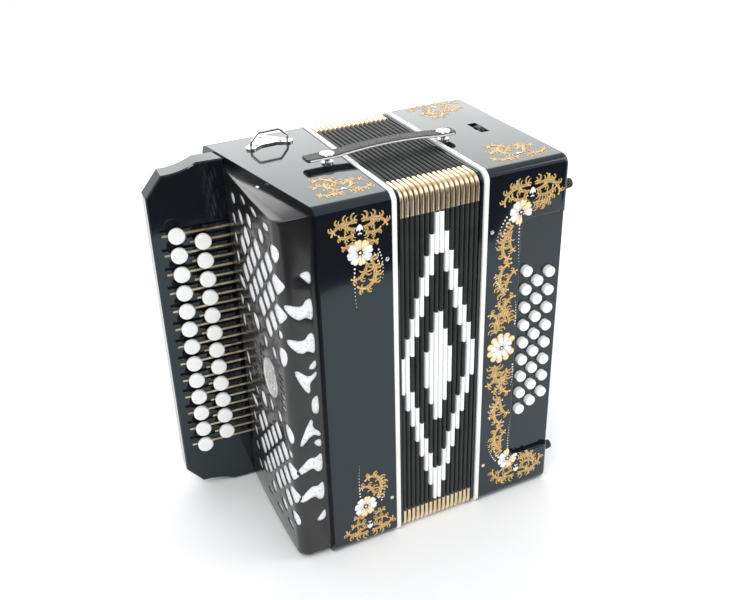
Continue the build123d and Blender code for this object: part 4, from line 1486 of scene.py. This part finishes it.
def crest(painting, u, v, reach):
    """Four pairs of scrolls, a wide crossbar above a narrowing heart, round a white bud."""
    for side in (-1, 1):
        outward = 90 - side * 90
        acanthus(painting, (u + side * 2, v + 0.5), outward + side * 14, reach * 1.08, -side * 1.5, 1.25, 4)
        acanthus(painting, (u + side * 3, v - 4), outward - side * 6, reach * 0.62, side * 3.4, 1.15, 2)
        acanthus(painting, (u + side * 5, v - 8), outward - side * 38, reach * 0.62, side * 4.0, 1.15, 2)
        acanthus(painting, (u + side * 6, v - 15), outward - side * 52, reach * 0.46, side * 5.0, 1.05, 2)
        comma(painting, (u + side * 1.5, v + 2), outward + side * 50, 7, -side * 14, 0.9, 2)
    bud(painting, u, v - 4.5, 5.6)


def treble_ornament(painting, crest_v, flower_u):
    """The upper ornament of the treble front: crest, flower, hanging scroll and pearls."""
    crest(painting, -45, crest_v, 23)
    acanthus(painting, (-37.5, 290.5), -50, 38, -2.3, 1.5, 3.0)
    acanthus(painting, (-40.0, 288.0), -85, 22, -3.6, 1.2, 1.5)
    flower(painting, flower_u, 297.0, 10.6, 10)
    pearls(painting, (flower_u + 13, 292), -62, 24, -1.4, 9, 1.0, 0.4)
    pearls(painting, (flower_u + 16, 296), -66, 26, -1.2, 10, 0.8, 0.3)
    pearls(painting, (flower_u - 5, 284), -95, 34, 0.3, 11, 0.9, 0.3)


def treble_front_ornaments():
    painting = Painting("treble_front_paint", TREBLE, (0, FRONT, 0), (1, 0, 0), (0, 0, 1))
    painting.keep_out = lambda u, v: u > TREBLE_END / MM - 1.5 or u < -76 or not 6 < v < 332
    treble_ornament(painting, 322.5, -45.3)
    painting.mirror = 341.2
    treble_ornament(painting, 326.0, -48.5)
    painting.finish()


def bass_ornament(painting):
    """The upper half of the bass front: crest, flower, the scrolls that hang to the rosette, and pearls."""
    crest(painting, 112, 320.5, 31)
    acanthus(painting, (113, 305), -20, 22, 2.4, 1.2, 2.0)
    acanthus(painting, (95.0, 288.0), -142, 38, 1.7, 1.5, 3.0)
    acanthus(painting, (94.0, 284.0), -118, 22, 2.6, 1.2, 1.5)
    acanthus(painting, (90.0, 224.0), 130, 37, -1.7, 1.5, 3.0)
    acanthus(painting, (90.5, 226.0), 98, 24, -2.0, 1.2, 2.5)
    acanthus(painting, (93.0, 196.0), 124, 31, -2.2, 1.4, 2.5)
    acanthus(painting, (95.0, 194.0), 88, 28, 1.8, 1.3, 2.0)
    acanthus(painting, (83.0, 188.0), 66, 26, 2.6, 1.3, 2.5)
    acanthus(painting, (82.5, 187.0), 112, 26, -2.8, 1.3, 2.0)
    flower(painting, 101.7, 298.8, 10.6, -12)
    pearls(painting, (91, 294), -125, 24, 1.2, 9, 1.1, 0.4)
    pearls(painting, (88, 297), -128, 27, 1.1, 10, 0.9, 0.3)
    pearls(painting, (101, 287), -92, 34, 0.2, 12, 0.8, 0.3)
    pearls(painting, (79.5, 246), -98, 24, 3.4, 12, 0.6, 0.9)
    pearls(painting, (101.5, 192), 84, 22, 0.6, 9, 0.9, 0.4)


def bass_front_ornaments():
    painting = Painting("bass_front_paint", BASS, (0, FRONT, 0), (1, 0, 0), (0, 0, 1))

    def keep_out(u, v):
        """Beside the edging, past the top or bottom, and in the plain middle of the right side."""
        plain_middle = u > 103.5 and 46 < v < 291
        return u < BASS_START / MM + 1.5 or plain_middle or not 6 < v < 330

    painting.keep_out = keep_out
    bass_ornament(painting)
    painting.mirror = 341.4
    bass_ornament(painting)
    painting.mirror = None
    rosette(painting, 88.8, 170.7, 15.2)
    painting.finish()


def top_ornament(label, body, u, v, half_width, flipped=False):
    """A gold corner ornament on a top face: a crossbar along the edge and scrolls that rise from it."""
    painting = Painting(label, body, (0, 0, TOP), (1, 0, 0), (0, 1, 0))
    painting.mirror = 2 * v if flipped else None
    for side in (-1, 1):
        outward = 90 - side * 90
        acanthus(painting, (u + side * 2, v - 3), outward - side * 16, half_width, side * 1.2, 1.3, 4)
        acanthus(painting, (u + side * 3, v + 1), outward + side * 30, half_width * 0.9, side * 2.6, 1.3, 2.5)
        acanthus(painting, (u + side * 3, v + 8), outward + side * 58, 22, -side * 3.0, 1.3, 2.5)
    acanthus(painting, (u - 1, v + 13), 85, 26, 3.0, 1.4, 3)
    for du, dv, radius in ((0, 2, 1.8), (-1.8, 0.4, 1.1), (1.8, 0.4, 1.1)):
        painting.dot("white", u + du, v + dv, radius, base=0.25)
    painting.finish()


def ornaments():
    treble_front_ornaments()
    bass_front_ornaments()
    top_ornament("treble_top_paint", TREBLE, -45, -72, 22)
    top_ornament("bass_top_front_paint", BASS, 113, -75, 27)
    top_ornament("bass_top_back_paint", BASS, 113, 69, 26, flipped=True)


# ---------------------------------------------------------------- stage
def camera():
    """The photograph's viewpoint."""
    yaw, pitch, roll = (math.radians(a) for a in (24.89, 29.28, -1.89))
    look = Vector((math.sin(yaw) * math.cos(pitch), math.cos(yaw) * math.cos(pitch), -math.sin(pitch)))
    level = look.cross(Vector((0, 0, 1))).normalized()
    above = level.cross(look)
    right = math.cos(roll) * level + math.sin(roll) * above
    up = -math.sin(roll) * level + math.cos(roll) * above
    data = bpy.data.cameras.new("camera")
    data.sensor_width = 36
    data.lens = 46.4
    data.clip_start = 0.01
    holder = put("camera", data)
    turn = Matrix((right, up, -look)).transposed().to_4x4()
    holder.matrix_world = Matrix.Translation((-0.3154, -0.6890, 0.6197)) @ turn
    bpy.context.scene.camera = holder


def area_light(name, location, size, power, colour):
    """A soft rectangular light, aimed at the middle of the instrument."""
    data = bpy.data.lights.new(name, "AREA")
    data.shape = "RECTANGLE"
    data.size, data.size_y = size
    data.energy = power
    data.color = colour
    holder = put(name, data)
    aim = Vector((0, 0, 0.2))
    holder.location = location
    holder.rotation_euler = (aim - holder.location).to_track_quat("-Z", "Y").to_euler()


def stage_piece(name, points, faces, material):
    """A mesh that is part of the stage, not of the model."""
    mesh = bpy.data.meshes.new(name)
    mesh.from_pydata(points, [], faces)
    mesh.materials.append(material)
    piece = put(name, mesh)
    return piece


def dark_surround():
    """The dark floor and wall in front of the paper, which only the glossy faces see."""
    material = blank("dark_surround", (0.01, 0.01, 0.012), 0.9)
    colour_from(material, noise(material, 2, 2), [(0.3, (0.008, 0.008, 0.01)), (0.8, (0.02, 0.02, 0.022))])
    near, far, half = -0.55, -1.9, 2.0
    floor_z, wall_top = 0.004, 1.2
    near_edge = ((-half, near + 0.1), (-0.25, near), (0.5, near - 0.1), (half, near - 0.2))
    points = [(x, y, floor_z) for x, y in near_edge]
    points += [(half, far, floor_z), (half, far, wall_top), (-half, far, wall_top), (-half, far, floor_z)]
    card = stage_piece("dark_surround", points, [(0, 7, 4, 3, 2, 1), (4, 7, 6, 5)], material)
    card.visible_camera = False
    card.visible_diffuse = False
    card.visible_shadow = False
    card.visible_transmission = False


def studio():
    """White paper, a pale surround and large soft lights."""
    world = bpy.data.worlds.new("surround")
    world.use_nodes = True
    background = world.node_tree.nodes["Background"].inputs
    background["Color"].default_value = (0.94, 0.97, 1.0, 1)
    background["Strength"].default_value = 0.85
    bpy.context.scene.world = world
    bpy.context.scene.view_settings.view_transform = "Standard"
    area_light("back_softbox", (0.3, 2.1, 1.5), (3.2, 1.5), 30, (1, 0.99, 0.97))
    area_light("key_softbox", (-1.0, -1.3, 2.1), (1.1, 1.1), 24, (1, 0.98, 0.95))
    area_light("side_softbox", (1.8, -0.9, 1.4), (1.0, 1.4), 12, (0.96, 0.98, 1))
    dark_surround()
    steps = 24
    reach = 8.0
    places = [-reach + 2 * reach * step / steps for step in range(steps + 1)]
    points = [(x, y, 0) for y in places for x in places]
    stage_piece("floor", points, grid_faces(steps + 1, steps + 1), floor_paper())


camera()
studio()
treble_box()
bass_box()
folds()
gold_corners()
tape_diamond()
grille_cover()
grille_caps()
grille_lining()
grille_bosses()
badge()
grille_screws()
treble_keys()
fingerboard()
kept_nodes()
bellows_strap()
hand_strap()
ornaments()
